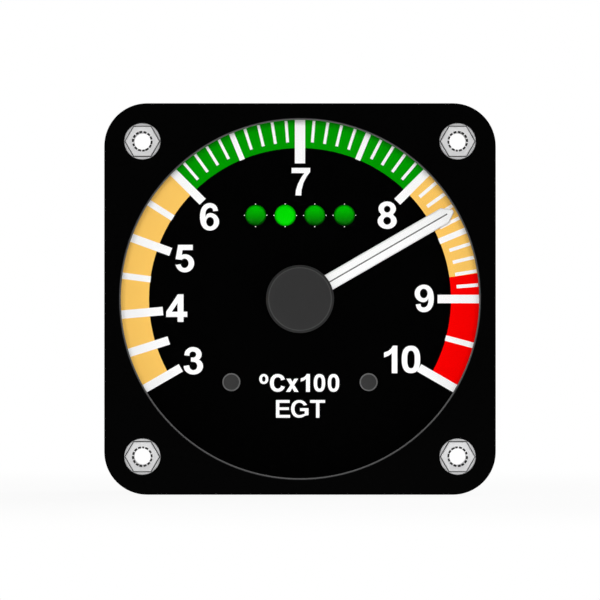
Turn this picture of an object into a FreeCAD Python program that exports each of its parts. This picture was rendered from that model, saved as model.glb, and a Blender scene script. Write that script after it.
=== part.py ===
"""Exhaust gas temperature gauge for a 57 mm instrument hole, in millimetres.

+Z is up, +X is to the right as the pilot sees the dial, and the case runs back along +Y.
The origin is on the pointer's axis, in the plane of the flange's front face.
"""
import FreeCAD, Part
import math
import os
import re
import Sketcher

os.makedirs("parts", exist_ok=True)
V = FreeCAD.Vector
doc = FreeCAD.newDocument("egt_gauge")
sheet = doc.addObject("Spreadsheet::Sheet", "Sizes")

SIZES = [
    # case, flange and window
    ("barrel_radius", 28.4, "outside of the case, for a 57.15 mm panel hole"),
    ("tube_wall", 1.0, "wall of the case tube"),
    ("flange_wall", 0.85, "flange left outside the case at the middle of a side"),
    ("flange_depth", 5.5, "thickness of the flange"),
    ("flange_corner", 6.4, "radius of the flange's corners"),
    ("bolt_margin", 4.93, "panel screws outside the case, along the diagonal"),
    ("counterbore_depth", 0.6, "clearance bored in the flange's back round the case"),
    ("lip_depth", 1.2, "lip in front of the glass"),
    ("lip_edge", 0.28, "bevel round the window"),
    ("window_step", 0.6, "reach of the lip inside the case wall"),
    ("gasket_depth", 0.3, "lens gasket, squeezed"),
    ("gasket_width", 0.8, "width of the gasket's ring"),
    ("glass_thickness", 2.0, "lens"),
    ("glass_seat", 0.5, "glass that rests on the end of the case tube"),
    ("seat_air", 0.05, "gap round a piece that slides into its seat"),
    ("insert_sink", 0.1, "insert set below the flange face"),
    ("insert_across", 4.4, "hexagon of an insert, across flats"),
    ("insert_hexagon_depth", 0.8, "height of that hexagon"),
    ("insert_collar_radius", 2.75, "collar behind the hexagon"),
    ("insert_collar_depth", 0.7, "thickness of the collar"),
    ("insert_radius", 2.0, "pressed sleeve of an insert"),
    ("insert_bore", 1.25, "bore of the insert's M3 thread"),
    # pointer and dial, from the glass backwards
    ("cap_air", 1.4, "glass to pointer cap"),
    ("cap_wall", 0.7, "wall of the cap"),
    ("cap_radius", 5.1, "pointer cap"),
    ("cap_edge", 0.35, "bevel of the cap's front edge"),
    ("cap_skirt_air", 0.2, "needle let into the cap's skirt"),
    ("bush_nose", 0.8, "bush in front of the needle"),
    ("bush_radius", 1.6, "neck of the bush, through the needle's eye"),
    ("bush_flange_radius", 2.6, "seat of the needle on the bush"),
    ("bush_flange_depth", 0.6, "thickness of that seat"),
    ("needle_thickness", 0.8, "needle at its ridge"),
    ("needle_edge", 0.5, "needle at its sides"),
    ("needle_width", 2.5, "width of the blade"),
    ("needle_margin", 0.8, "dial seen beyond the needle's tip"),
    ("needle_taper", 1.05, "length of the pointed tip"),
    ("needle_tip_width", 0.7, "width of the tip's end"),
    ("needle_eye_radius", 3.2, "ring of the needle round the bush"),
    ("needle_angle", 60.0, "rest angle of the needle, clockwise from the top"),
    ("shaft_radius", 0.75, "output shaft"),
    ("shaft_end_air", 0.3, "bush bore beyond the shaft's end"),
    ("pivot_radius", 0.5, "rear pivot of the output shaft, and the fixed arbor"),
    ("pivot_air", 0.03, "running gap of a pivot in its bearing"),
    ("pivot_depth", 0.6, "depth of a pivot in a motor wall"),
    ("dial_air", 0.8, "bush to dial"),
    ("dial_thickness", 1.0, "dial plate"),
    ("dial_clearance", 0.3, "gap between dial plate and case"),
    ("dial_hole_radius", 3.2, "hole for the pointer bush"),
    ("dial_screw_offset", 10.31, "dial screws, to each side"),
    ("dial_screw_drop", 12.49, "dial screws, below the centre"),
    ("dial_screw_radius", 0.95, "shank of a dial screw"),
    ("dial_screw_head_radius", 1.35, "head of a dial screw"),
    ("dial_screw_head_depth", 0.7, "thickness of that head"),
    ("dial_screw_edge", 0.2, "bevel of that head"),
    ("dial_screw_grip", 2.6, "shank inside the post"),
    ("post_radius", 2.2, "post between board and dial"),
    ("post_spigot_radius", 1.3, "riveted end of the post"),
    # channel lamps
    ("lamp_radius", 1.5, "lamp lens"),
    ("lamp_pitch", 4.45, "distance between lamps"),
    ("lamp_height", 12.57, "lamps above the centre"),
    ("lamp_length", 5.3, "lamp from its front to the board"),
    ("lamp_proud", 0.6, "lamp in front of the dial"),
    ("lamp_bevel", 0.5, "bevel of the lamp's front"),
    ("lamp_rim_radius", 1.9, "rim at the lamp's foot"),
    ("lamp_rim_depth", 1.0, "thickness of that rim"),
    ("lamp_hole_air", 0.1, "gap round a lamp in the dial"),
    ("lead_width", 0.5, "square lead of a lamp"),
    ("lead_spread", 1.27, "lead to lamp axis"),
    ("lead_stub", 1.5, "lead behind the board"),
    # boards and pillars
    ("board_clearance", 1.4, "gap between boards and case"),
    ("board_thickness", 1.2, "display board"),
    ("main_thickness", 1.6, "main board"),
    ("lead_hole_air", 0.1, "gap round a lead or pin in a board"),
    ("pillar_margin", 3.94, "pillars, in from the boards' edge"),
    ("pillar_across", 4.5, "hexagon of a pillar, across flats"),
    ("front_pillar_length", 21.9, "display board to main board"),
    ("rear_pillar_length", 5.5, "main board to rear cover"),
    ("stud_radius", 1.2, "stud that joins two pillars"),
    ("stud_length", 4.0, "stud beyond the main board's front"),
    ("board_screw_length", 6.0, "screw shank under the head"),
    ("board_screw_across", 4.0, "hexagon head of a board screw, across flats"),
    ("board_screw_head_depth", 1.4, "height of that head"),
    # motor and gear train
    ("motor_air", 0.35, "pillars to motor case"),
    ("motor_top", 8.6, "motor case above the shaft"),
    ("motor_foot", 7.6, "motor case below the rotor"),
    ("motor_corner", 4.0, "corner radius of the motor case"),
    ("shell_wall", 1.0, "wall of the motor shells"),
    ("bearing_nose", 0.7, "shaft bearing in front of the display board"),
    ("bearing_radius", 1.8, "outside of the shaft bearing"),
    ("boss_radius", 1.2, "boss round a pivot"),
    ("gear_module", 0.22, "tooth size of both stages"),
    ("pinion_teeth", 10, "teeth of each pinion"),
    ("wheel_teeth", 60, "teeth of each wheel"),
    ("profile_shift", 0.4, "tooth shift of pinions out and wheels in"),
    ("tooth_relief", 0.03, "thinning of each tooth for running play"),
    ("lug_height", 0.8, "stop lug in front of the output wheel"),
    ("lug_air", 0.1, "lug to motor wall"),
    ("lug_half_angle", 8.0, "half of the lug, in degrees"),
    ("stop_inner", 4.0, "inside of the stop rib and lug"),
    ("stop_outer", 5.0, "outside of the stop rib and lug"),
    ("rib_height", 0.6, "stop rib on the motor's front wall"),
    ("rib_half_angle", 46.5, "half of the stop rib, in degrees"),
    ("wheel_width", 1.2, "output wheel"),
    ("second_width", 1.0, "intermediate wheel"),
    ("pinion_overhang", 0.1, "pinion in front of its wheel"),
    ("stage_gap", 0.5, "output wheel to intermediate wheel"),
    ("rotor_overhang", 0.2, "rotor pinion beyond its wheel, each way"),
    ("magnet_gap", 0.3, "rotor pinion to magnet"),
    ("magnet_radius", 2.6, "rotor magnet"),
    ("magnet_length", 2.8, "rotor magnet"),
    ("spindle_radius", 0.4, "rotor pivots"),
    ("hub_radius", 0.6, "rotor spindle inside the magnet"),
    ("rear_air", 0.8, "magnet to motor rear wall"),
    ("end_play", 0.1, "end play of a turning piece"),
    ("pole_bore", 2.9, "stator bore round the magnet"),
    ("pole_radius", 4.0, "outside of the stator's poles"),
    ("pole_slot", 0.5, "slot between poles"),
    ("stator_thickness", 1.0, "stator plate"),
    ("limb_width", 1.6, "limbs and yoke of the stator"),
    ("bobbin_margin", 0.4, "bobbin flanges to the motor's side walls"),
    ("arm_rise", 3.8, "top of the stator arms above the rotor"),
    ("yoke_drop", 6.2, "bottom of the stator yoke below the rotor"),
    ("bobbin_half_width", 2.6, "bobbin flange, to each side of its limb"),
    ("bobbin_half_depth", 2.0, "bobbin flange, to front and rear of its limb"),
    ("bobbin_flange", 0.6, "thickness of a bobbin flange"),
    ("bobbin_wall", 0.35, "wall of the bobbin's core"),
    ("bobbin_air", 0.1, "bobbin to stator arm and yoke"),
    ("winding_margin", 0.4, "bobbin flange beyond the winding"),
    ("pin_width", 0.5, "square motor pin"),
    ("pin_offset", 1.9, "motor pins, to each side of a limb"),
    ("pin_stub", 0.6, "motor pin in front of the board"),
    ("upper_boss_inset", 2.4, "upper screw bosses, in from the motor's edges"),
    ("lower_boss_offset", 4.6, "lower screw bosses, to each side"),
    ("lower_boss_drop", 2.8, "lower screw bosses below the rotor"),
    ("screw_boss_radius", 1.3, "boss round a motor screw"),
    ("motor_screw_radius", 0.6, "motor screw"),
    ("motor_screw_across", 2.0, "hexagon head of a motor screw, across flats"),
    ("motor_screw_head_depth", 0.8, "height of that head"),
    # link between the boards
    ("header_columns", 6, "pins in a row of the header"),
    ("header_pitch", 2.54, "distance between header pins"),
    ("header_margin", 6.5, "header, in from the boards' top edge"),
    ("header_pin_width", 0.64, "square header pin"),
    ("header_pin_stub", 0.8, "header pin in front of the display board"),
    ("strip_depth", 2.5, "plastic strip of the header"),
    ("socket_depth", 8.5, "height of the header socket"),
    ("socket_reach", 6.0, "pins inside the socket"),
    ("socket_bottom", 1.0, "socket left behind the pins"),
    # parts on the main board
    ("processor_width", 10.0, "microcontroller, each side"),
    ("processor_depth", 1.4, "height of the microcontroller"),
    ("processor_gap", 2.46, "header socket to microcontroller"),
    ("amplifier_width", 4.9, "thermocouple amplifier, across"),
    ("amplifier_length", 6.0, "thermocouple amplifier, up"),
    ("amplifier_depth", 1.6, "height of an amplifier"),
    ("amplifier_pitch", 7.0, "distance between amplifiers"),
    ("amplifier_drop", 9.5, "amplifiers below the centre"),
    ("regulator_width", 6.5, "voltage regulator"),
    ("regulator_depth", 2.3, "height of the regulator"),
    ("regulator_margin", 9.0, "regulator, in from the board's left edge"),
    ("capacitor_radius", 4.0, "filter capacitor"),
    ("capacitor_length", 10.0, "height of a capacitor"),
    ("capacitor_margin", 9.0, "capacitors, in from the board's right edge"),
    ("capacitor_spread", 4.6, "capacitors above and below the centre"),
    # rear cover
    ("cover_thickness", 2.5, "plate of the rear cover"),
    ("cover_rim", 2.0, "rim behind the case tube"),
    ("cover_edge", 0.6, "bevel of the rim"),
    ("spigot_clearance", 0.1, "gap between spigot and case"),
    ("spigot_wall", 2.3, "wall of the cover's spigot"),
    ("spigot_air", 0.5, "main board to spigot"),
    ("groove_start", 0.8, "spigot's end to the seal groove"),
    ("groove_width", 1.6, "seal groove"),
    ("groove_depth", 1.2, "seal groove"),
    ("seal_thickness", 1.25, "square section of the seal ring"),
    ("side_screw_count", 4, "screws through the case into the cover"),
    ("side_screw_inset", 1.6, "side screws in front of the tube's end"),
    ("side_screw_radius", 0.8, "shank of a side screw"),
    ("side_screw_head_radius", 1.5, "head of a side screw"),
    ("side_screw_head_depth", 0.7, "height of that countersunk head"),
    ("side_screw_head_edge", 0.1, "straight edge of that head"),
    ("side_screw_length", 2.6, "side screw, from outside to tip"),
    ("cover_screw_radius", 1.2, "shank of a cover screw"),
    ("cover_screw_head_radius", 2.3, "head of a cover screw"),
    ("cover_screw_head_depth", 1.2, "countersunk part of that head"),
    ("cover_screw_length", 5.0, "cover screw, from outside to tip"),
    # rear connector
    ("plate_half_width", 19.6, "connector plate, to each side"),
    ("plate_half_height", 6.25, "connector plate, up and down"),
    ("plate_thickness", 0.8, "connector plate"),
    ("plate_corner", 1.5, "corner radius of that plate"),
    ("jack_margin", 2.95, "jack screws, in from the plate's ends"),
    ("jack_across", 4.75, "hexagon of a jack screw, across flats"),
    ("jack_height", 4.8, "height of that hexagon"),
    ("jack_stud_radius", 1.4, "stud of a jack screw"),
    ("jack_stud_length", 2.6, "that stud below its hexagon"),
    ("jack_bore", 1.15, "tapped bore of a jack screw"),
    ("jack_gap", 4.3, "jack screws to the connector shell's wide side"),
    ("shroud_half_height", 3.95, "connector shell, up and down"),
    ("shroud_slant", 1.39, "how much narrower the other side is"),
    ("shroud_corner", 2.2, "corner radius of the connector shell"),
    ("shroud_wall", 0.4, "sheet of the connector shell"),
    ("shroud_height", 5.6, "connector shell behind its plate"),
    ("insulator_sink", 0.3, "insulator inside the shell's edge"),
    ("insulator_reach", 4.5, "insulator in front of the plate"),
    ("contact_columns", 8, "contacts in the wide row"),
    ("contact_margin", 2.255, "end contacts to the inside of the shell"),
    ("contact_row", 1.42, "rows above and below the middle"),
    ("contact_sides", 8, "sides of a contact sleeve and its bore"),
    ("contact_radius", 0.6, "contact sleeve, to its corners"),
    ("contact_bore", 0.4, "bore of the contact, to its corners"),
    ("contact_sink", 0.5, "contact below the insulator's face"),
    ("contact_grip", 4.0, "depth of the contact's bore"),
    ("tail_width", 0.6, "square tail of a contact through the main board"),
    ("tail_stub", 0.8, "tail in front of the main board"),
    ("overshoot", 1.0, "how far a cutting shape passes the surface that it cuts"),
]

ALIASES = set()
for row, (alias, number, note) in enumerate(SIZES, 1):
    sheet.set(f"A{row}", note)
    sheet.set(f"B{row}", str(number))
    sheet.setAlias(f"B{row}", alias)
    ALIASES.add(alias)
doc.recompute()


# Places worked out from the sizes, as expressions that the pieces are bound to

tube_inner = "(barrel_radius - tube_wall)"
glass_radius = f"({tube_inner} + glass_seat)"
window_radius = f"({tube_inner} - window_step)"
dial_radius = f"({tube_inner} - dial_clearance)"
board_radius = f"({tube_inner} - board_clearance)"
needle_tip = f"({dial_radius} - needle_margin)"
flange_half = "(barrel_radius + flange_wall)"
bore_radius = f"({glass_radius} + seat_air)"
counterbore_radius = "(barrel_radius + seat_air)"
counterbore_front = "(flange_depth - counterbore_depth)"
bolt_half = "((barrel_radius + bolt_margin) / sqrt(2))"
pillar_offset = f"(({board_radius} - pillar_margin) / sqrt(2))"
motor_half_width = f"({pillar_offset} - pillar_across / 2 - motor_air)"
limb_offset = f"({motor_half_width} - shell_wall - bobbin_half_width - bobbin_margin)"
header_height = f"({board_radius} - header_margin)"
processor_height = f"({header_height} - header_pitch - processor_gap - processor_width / 2)"
regulator_offset = f"({board_radius} - regulator_margin)"
capacitor_offset = f"({board_radius} - capacitor_margin)"
jack_offset = "(plate_half_width - jack_margin)"
shroud_half_width = f"({jack_offset} - jack_gap)"
contact_span = f"(2 * ({shroud_half_width} - shroud_wall - contact_margin))"
contact_pitch = f"({contact_span} / (contact_columns - 1))"

glass_front = "(lip_depth + gasket_depth)"
glass_back = f"({glass_front} + glass_thickness)"
cap_front = f"({glass_back} + cap_air)"
bush_front = f"({cap_front} + cap_wall)"
needle_ridge = f"({bush_front} + bush_nose)"
needle_back = f"({needle_ridge} + needle_thickness)"
bush_back = f"({needle_back} + bush_flange_depth)"
dial_front = f"({bush_back} + dial_air)"
dial_back = f"({dial_front} + dial_thickness)"
board_front = f"({dial_front} - lamp_proud + lamp_length)"
board_back = f"({board_front} + board_thickness)"

shell_inner = f"({board_back} + shell_wall)"
wheel_front = f"({shell_inner} + lug_air + lug_height)"
wheel_back = f"({wheel_front} + wheel_width)"
pinion_front = f"({wheel_front} - pinion_overhang)"
second_front = f"({wheel_back} + stage_gap)"
second_back = f"({second_front} + second_width)"
rotor_front = f"({second_front} - rotor_overhang)"
rotor_back = f"({second_back} + rotor_overhang)"
magnet_front = f"({rotor_back} + magnet_gap)"
magnet_back = f"({magnet_front} + magnet_length)"
stator_middle = f"({magnet_front} + magnet_length / 2)"
stator_front = f"({stator_middle} - stator_thickness / 2)"
stator_back = f"({stator_front} + stator_thickness)"
rear_inner = f"({magnet_back} + rear_air)"
shell_back = f"({rear_inner} + shell_wall)"

main_front = f"({board_back} + front_pillar_length)"
main_back = f"({main_front} + main_thickness)"
cover_inner = f"({main_back} + rear_pillar_length)"
cover_outer = f"({cover_inner} + cover_thickness)"
tube_back = f"({cover_outer} - cover_rim)"
spigot_front = f"({main_back} + spigot_air)"
spigot_radius = f"({tube_inner} - spigot_clearance)"
spigot_inner = f"({spigot_radius} - spigot_wall)"
groove_front = f"({spigot_front} + groove_start)"
side_screw_place = f"({tube_back} - side_screw_inset)"
plate_back = f"({cover_outer} + plate_thickness)"
shroud_back = f"({plate_back} + shroud_height)"

centre_distance = "(gear_module * (wheel_teeth + pinion_teeth) / 2)"
middle_height = f"(-{centre_distance})"
rotor_height = f"(-2 * {centre_distance})"
motor_bottom = f"({rotor_height} - motor_foot)"
arm_top = f"({rotor_height} + arm_rise)"
arm_bottom = f"({arm_top} - limb_width)"
yoke_bottom = f"({rotor_height} - yoke_drop)"
yoke_top = f"({yoke_bottom} + limb_width)"


# How the pieces are made

def expression(text):
    """The same text with every named size read from the sheet."""
    return re.sub(r"[a-z_]+", lambda word: "Sizes." * (word.group() in ALIASES) + word.group(), str(text))


def value(text):
    """What an expression comes to, as a number."""
    return float(sheet.evalExpression(expression(text)))


def bind(piece, **expressions):
    for key, text in expressions.items():
        piece.setExpression(key, expression(text))


def move(piece, x="0", y="0", z="0"):
    """Bind the place of a piece to the sheet."""
    piece.setExpression("Placement.Base.x", expression(x))
    piece.setExpression("Placement.Base.y", expression(y))
    piece.setExpression("Placement.Base.z", expression(z))


def pin_point(sketch, edge, end, x, y):
    """Hold one end of an edge, or the centre of a circle, at a bound place."""
    for kind, text in (("DistanceX", x), ("DistanceY", y)):
        count = sketch.addConstraint(Sketcher.Constraint(kind, edge, end, value(text)))
        sketch.setExpression(f"Constraints[{count}]", expression(text))


def draw_circle(sketch, x, y, radius):
    place = V(value(x), value(y), 0)
    edge = sketch.addGeometry(Part.Circle(place, V(0, 0, 1), value(radius)), False)
    pin_point(sketch, edge, 3, x, y)
    count = sketch.addConstraint(Sketcher.Constraint("Radius", edge, value(radius)))
    sketch.setExpression(f"Constraints[{count}]", expression(radius))


def draw_corners(sketch, corners):
    places = [V(value(x), value(y), 0) for x, y in corners]
    edges = []
    for place, following in zip(places, places[1:] + places[:1]):
        edges.append(sketch.addGeometry(Part.LineSegment(place, following), False))
    for edge, following in zip(edges, edges[1:] + edges[:1]):
        sketch.addConstraint(Sketcher.Constraint("Coincident", edge, 2, following, 1))
    for edge, (x, y) in zip(edges, corners):
        pin_point(sketch, edge, 1, x, y)


def draw(body, plane, outlines):
    """Sketch on one of a body's own planes: a circle is a tuple, a polygon a list of corners."""
    sketch = body.newObject("Sketcher::SketchObject", body.Name + "_outline")
    sketch.AttachmentSupport = [([one for one in body.Origin.OriginFeatures if one.Role == plane][0], "")]
    sketch.MapMode = "FlatFace"
    for outline in outlines:
        if isinstance(outline, tuple):
            draw_circle(sketch, *outline)
        else:
            draw_corners(sketch, outline)
    return sketch


def rectangle(half_width, low, high):
    return [(f"-{half_width}", low), (half_width, low), (half_width, high), (f"-{half_width}", high)]


def square(x, z, width):
    """Corners of a square hole about a place."""
    left, right = (f"{x} {side} ({width}) / 2" for side in "-+")
    low, high = (f"{z} {side} ({width}) / 2" for side in "-+")
    return [(left, low), (right, low), (right, high), (left, high)]


def plate(name, outlines, front, back, corner=None):
    """Flat piece between two depths, its outline drawn as seen from the front."""
    body = doc.addObject("PartDesign::Body", name)
    pad = body.newObject("PartDesign::Pad", name + "_pad")
    pad.Profile = draw(body, "XZ_Plane", outlines)
    pad.Reversed = True
    bind(pad, Length=f"{back} - {front}")
    move(body, y=front)
    if corner:
        doc.recompute()
        lengthwise = [
            f"Edge{count}" for count, edge in enumerate(pad.Shape.Edges, 1)
            if len(edge.Vertexes) == 2 and abs(edge.tangentAt(edge.FirstParameter).y) > 0.99
        ]
        fillet = body.newObject("PartDesign::Fillet", name + "_corners")
        fillet.Base = (pad, lengthwise)
        bind(fillet, Radius=corner)
    return body


def turned(name, profile, x="0", z="0"):
    """Round piece about an axis along Y, from a profile of radius and depth."""
    body = doc.addObject("PartDesign::Body", name)
    sketch = draw(body, "XY_Plane", [profile])
    revolution = body.newObject("PartDesign::Revolution", name + "_revolution")
    revolution.Profile = sketch
    revolution.ReferenceAxis = (sketch, ["V_Axis"])
    revolution.Angle = 360
    move(body, x, "0", z)
    return body


def rod(name, radius, front, back, x="0", z="0"):
    """Plain round piece along Y."""
    piece = doc.addObject("Part::Cylinder", name)
    piece.Placement = FreeCAD.Placement(V(), FreeCAD.Rotation(V(1, 0, 0), -90))
    bind(piece, Radius=radius, Height=f"{back} - {front}")
    move(piece, x, front, z)
    return piece


def prism(name, sides, radius, front, back, x="0", z="0"):
    """Piece along Y with an even number of flat sides, by the radius to its corners."""
    piece = doc.addObject("Part::Prism", name)
    piece.Placement = FreeCAD.Placement(V(), FreeCAD.Rotation(V(1, 0, 0), -90))
    bind(piece, Polygon=sides, Circumradius=radius, Height=f"{back} - {front}")
    move(piece, x, front, z)
    return piece


def hexagon(name, across, front, back, x="0", z="0"):
    """Hexagonal piece along Y, with flats at the top and bottom."""
    return prism(name, "6", f"{across} / sqrt(3)", front, back, x, z)


def block(name, x, y, z):
    """Box from three pairs of limits."""
    piece = doc.addObject("Part::Box", name)
    bind(piece, Length=f"({x[1]}) - ({x[0]})", Width=f"({y[1]}) - ({y[0]})", Height=f"({z[1]}) - ({z[0]})")
    move(piece, x[0], y[0], z[0])
    return piece


def square_pin(name, x, z, width, front, back):
    """Square pin along Y, or with a wider width the hole for it."""
    return block(
        name,
        (f"{x} - ({width}) / 2", f"{x} + ({width}) / 2"),
        (front, back),
        (f"{z} - ({width}) / 2", f"{z} + ({width}) / 2"),
    )


def fuse(name, *pieces):
    piece = doc.addObject("Part::MultiFuse", name)
    piece.Shapes = list(pieces)
    piece.Refine = True
    return piece


def cut(name, base, *tools):
    piece = doc.addObject("Part::Cut", name)
    piece.Base = base
    piece.Tool = tools[0] if len(tools) == 1 else fuse(name + "_tools", *tools)
    return piece


def group(name, pieces):
    """Like pieces that share a node, each a solid of its own."""
    piece = doc.addObject("Part::Compound", name)
    piece.Links = list(pieces)
    return piece


def copies(name, first, places):
    """A group of one finished piece, repeated at each place across the front."""
    pieces = []
    for count, (x, z) in enumerate(places, 1):
        link = doc.addObject("App::Link", f"{name}_{count}")
        link.LinkedObject = first
        move(link, x, "0", z)
        pieces.append(link)
    return group(name, pieces)


def face_rotation(degrees):
    """Turn clockwise, as seen from the front, about the pointer's axis."""
    return FreeCAD.Rotation(V(0, 1, 0), degrees)


def sector(name, front, back, middle, half_angle):
    """Arc of the end stop, centred at an angle clockwise from the top."""
    outer = rod(name + "_outer", "stop_outer", front, back)
    inner = rod(name + "_inner", "stop_inner", front, back)
    for piece in (outer, inner):
        piece.Angle = 2 * value(half_angle)
        start = face_rotation(value(middle) - 90 - value(half_angle))
        piece.Placement.Rotation = start.multiply(piece.Placement.Rotation)
    return cut(name, outer, inner)


def four_corners(offset):
    return [(f"{side}{offset}", f"{rise}{offset}") for side in ("", "-") for rise in ("", "-")]


# Flange, inserts, glass and case

flange_block = plate(
    "flange_block", [rectangle(flange_half, f"-{flange_half}", flange_half)],
    "0", "flange_depth", "flange_corner",
)
window = turned("window", [
    ("0", "-overshoot"),
    (f"{window_radius} + lip_edge + overshoot", "-overshoot"),
    (window_radius, "lip_edge"),
    (window_radius, "lip_depth"),
    (bore_radius, "lip_depth"),
    (bore_radius, counterbore_front),
    (counterbore_radius, counterbore_front),
    (counterbore_radius, "flange_depth + overshoot"),
    ("0", "flange_depth + overshoot"),
])
hexagon_back = "(insert_sink + insert_hexagon_depth)"
collar_back = f"({hexagon_back} + insert_collar_depth)"
insert_seats = []
for count, (x, z) in enumerate(four_corners(bolt_half), 1):
    insert_seats.append(turned(f"insert_seat_{count}", [
        ("0", "-overshoot"),
        ("insert_collar_radius + seat_air", "-overshoot"),
        ("insert_collar_radius + seat_air", collar_back),
        ("insert_radius", collar_back),
        ("insert_radius", "flange_depth + overshoot"),
        ("0", "flange_depth + overshoot"),
    ], x, z))
front_flange = cut("front_flange", flange_block, window, *insert_seats)

insert_sleeve = turned("insert_sleeve", [
    ("insert_bore", "insert_sink"),
    ("insert_across / 2", "insert_sink"),
    ("insert_across / 2", hexagon_back),
    ("insert_collar_radius", hexagon_back),
    ("insert_collar_radius", collar_back),
    ("insert_radius", collar_back),
    ("insert_radius", "flange_depth"),
    ("insert_bore", "flange_depth"),
])
insert_hexagon = cut(
    "insert_hexagon",
    hexagon("insert_hexagon_block", "insert_across", "insert_sink", hexagon_back),
    rod("insert_hexagon_bore", "insert_bore", "insert_sink", hexagon_back),
)
mounting_insert = fuse("mounting_insert", insert_sleeve, insert_hexagon)
mounting_inserts = copies("mounting_inserts", mounting_insert, four_corners(bolt_half))

lens_gasket = turned("lens_gasket", [
    (f"{glass_radius} - gasket_width", "lip_depth"),
    (glass_radius, "lip_depth"),
    (glass_radius, glass_front),
    (f"{glass_radius} - gasket_width", glass_front),
])

glass_lens = turned("glass_lens", [
    ("0", glass_front), (glass_radius, glass_front), (glass_radius, glass_back), ("0", glass_back),
])

case_blank = turned("case_blank", [
    (tube_inner, glass_back),
    (glass_radius, glass_back),
    (glass_radius, "flange_depth"),
    ("barrel_radius", "flange_depth"),
    ("barrel_radius", tube_back),
    (tube_inner, tube_back),
])


def side_screws(name, play, outside):
    """Countersunk screws that point at the axis, or with some play the holes for them."""
    tip = f"(barrel_radius - side_screw_length - {play})"
    shank = f"(side_screw_radius + {play})"
    head = f"(side_screw_head_radius + {play})"
    shapes = []
    total = int(value("side_screw_count"))
    for count in range(total):
        screw = turned(f"{name}_{count + 1}", [
            ("0", tip),
            (shank, tip),
            (shank, f"barrel_radius - side_screw_head_depth - {play}"),
            (head, "barrel_radius - side_screw_head_edge"),
            (head, outside),
            ("0", outside),
        ])
        turn = math.radians(360 * count / total)
        screw.Placement.Rotation = FreeCAD.Rotation(V(0, 1, 0), V(math.sin(turn), 0, math.cos(turn)))
        move(screw, y=side_screw_place)
        shapes.append(screw)
    return shapes


case_tube = cut("case_tube", case_blank, *side_screws("tube_hole", "seat_air", "barrel_radius + overshoot"))


# Dial, posts and channel lamps

post_places = [("dial_screw_offset", "-dial_screw_drop"), ("-dial_screw_offset", "-dial_screw_drop")]
lamp_places = [(f"{count - 1.5} * lamp_pitch", "lamp_height") for count in range(4)]

dial_plate = plate("dial_plate", [
    ("0", "0", dial_radius),
    ("0", "0", "dial_hole_radius"),
    *[(x, z, "lamp_radius + lamp_hole_air") for x, z in lamp_places],
    *[(x, z, "dial_screw_radius + seat_air") for x, z in post_places],
], dial_front, dial_back)

dial_screw = turned("dial_screw", [
    ("0", f"{dial_front} - dial_screw_head_depth"),
    ("dial_screw_head_radius - dial_screw_edge", f"{dial_front} - dial_screw_head_depth"),
    ("dial_screw_head_radius", f"{dial_front} - dial_screw_head_depth + dial_screw_edge"),
    ("dial_screw_head_radius", dial_front),
    ("dial_screw_radius", dial_front),
    ("dial_screw_radius", f"{dial_back} + dial_screw_grip"),
    ("0", f"{dial_back} + dial_screw_grip"),
])
dial_screws = copies("dial_screws", dial_screw, post_places)

post_bottom = f"({dial_back} + dial_screw_grip + end_play)"
dial_post = turned("dial_post", [
    ("dial_screw_radius", dial_back),
    ("post_radius", dial_back),
    ("post_radius", board_front),
    ("post_spigot_radius", board_front),
    ("post_spigot_radius", board_back),
    ("0", board_back),
    ("0", post_bottom),
    ("dial_screw_radius", post_bottom),
])
dial_posts = copies("dial_posts", dial_post, post_places)

lamp_front = f"({dial_front} - lamp_proud)"
rim_front = f"({board_front} - lamp_rim_depth)"
lamps = []
for count, (x, z) in enumerate(lamp_places, 1):
    name = f"channel_led_{count}"
    lamp_body = turned(name + "_body", [
        ("0", lamp_front),
        ("lamp_radius - lamp_bevel", lamp_front),
        ("lamp_radius", f"{lamp_front} + lamp_bevel"),
        ("lamp_radius", rim_front),
        ("lamp_rim_radius", rim_front),
        ("lamp_rim_radius", board_front),
        ("0", board_front),
    ], x, z)
    leads = [
        square_pin(
            f"{name}_lead_{end}", f"({x} {side} lead_spread)", z, "lead_width",
            board_front, f"({board_back} + lead_stub)",
        )
        for end, side in (("left", "-"), ("right", "+"))
    ]
    lamps.append(fuse(name, lamp_body, *leads))


# Boards, pillars and their screws

pin_height = f"({yoke_top} + bobbin_air + bobbin_flange / 2)"
pin_places = [(f"({side}{limb_offset} {way} pin_offset)", pin_height) for side in ("", "-") for way in "+-"]
motor_screw_places = [
    (f"{side}({motor_half_width} - upper_boss_inset)", "(motor_top - upper_boss_inset)")
    for side in ("", "-")
] + [
    (f"{side}lower_boss_offset", f"({rotor_height} - lower_boss_drop)") for side in ("", "-")
]
lead_places = [(f"({x} {way} lead_spread)", z) for x, z in lamp_places for way in "-+"]
header_span = int(value("header_columns"))
header_places = [
    (f"{column - (header_span - 1) / 2} * header_pitch", f"({header_height} {row} header_pitch / 2)")
    for column in range(header_span) for row in ("+", "-")
]

display_board = plate("display_board", [
    ("0", "0", board_radius),
    ("0", "0", "bearing_radius + lead_hole_air"),
    *[(x, z, "stud_radius + seat_air") for x, z in four_corners(pillar_offset)],
    *[(x, z, "post_spigot_radius") for x, z in post_places],
    *[(x, z, "motor_screw_radius + seat_air") for x, z in motor_screw_places],
    *[square(x, z, "lead_width + 2 * lead_hole_air") for x, z in lead_places],
    *[square(x, z, "pin_width + 2 * lead_hole_air") for x, z in pin_places],
    *[square(x, z, "header_pin_width + 2 * lead_hole_air") for x, z in header_places],
], board_front, board_back)

wide_row = int(value("contact_columns"))
contact_places = [
    (f"{column - (wide_row - 1) / 2} * {contact_pitch}", "contact_row") for column in range(wide_row)
] + [
    (f"{column - (wide_row - 2) / 2} * {contact_pitch}", "-contact_row") for column in range(wide_row - 1)
]
main_board = plate("main_board", [
    ("0", "0", board_radius),
    *[(x, z, "stud_radius + seat_air") for x, z in four_corners(pillar_offset)],
    *[square(x, z, "tail_width + 2 * lead_hole_air") for x, z in contact_places],
], main_front, main_back)

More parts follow.
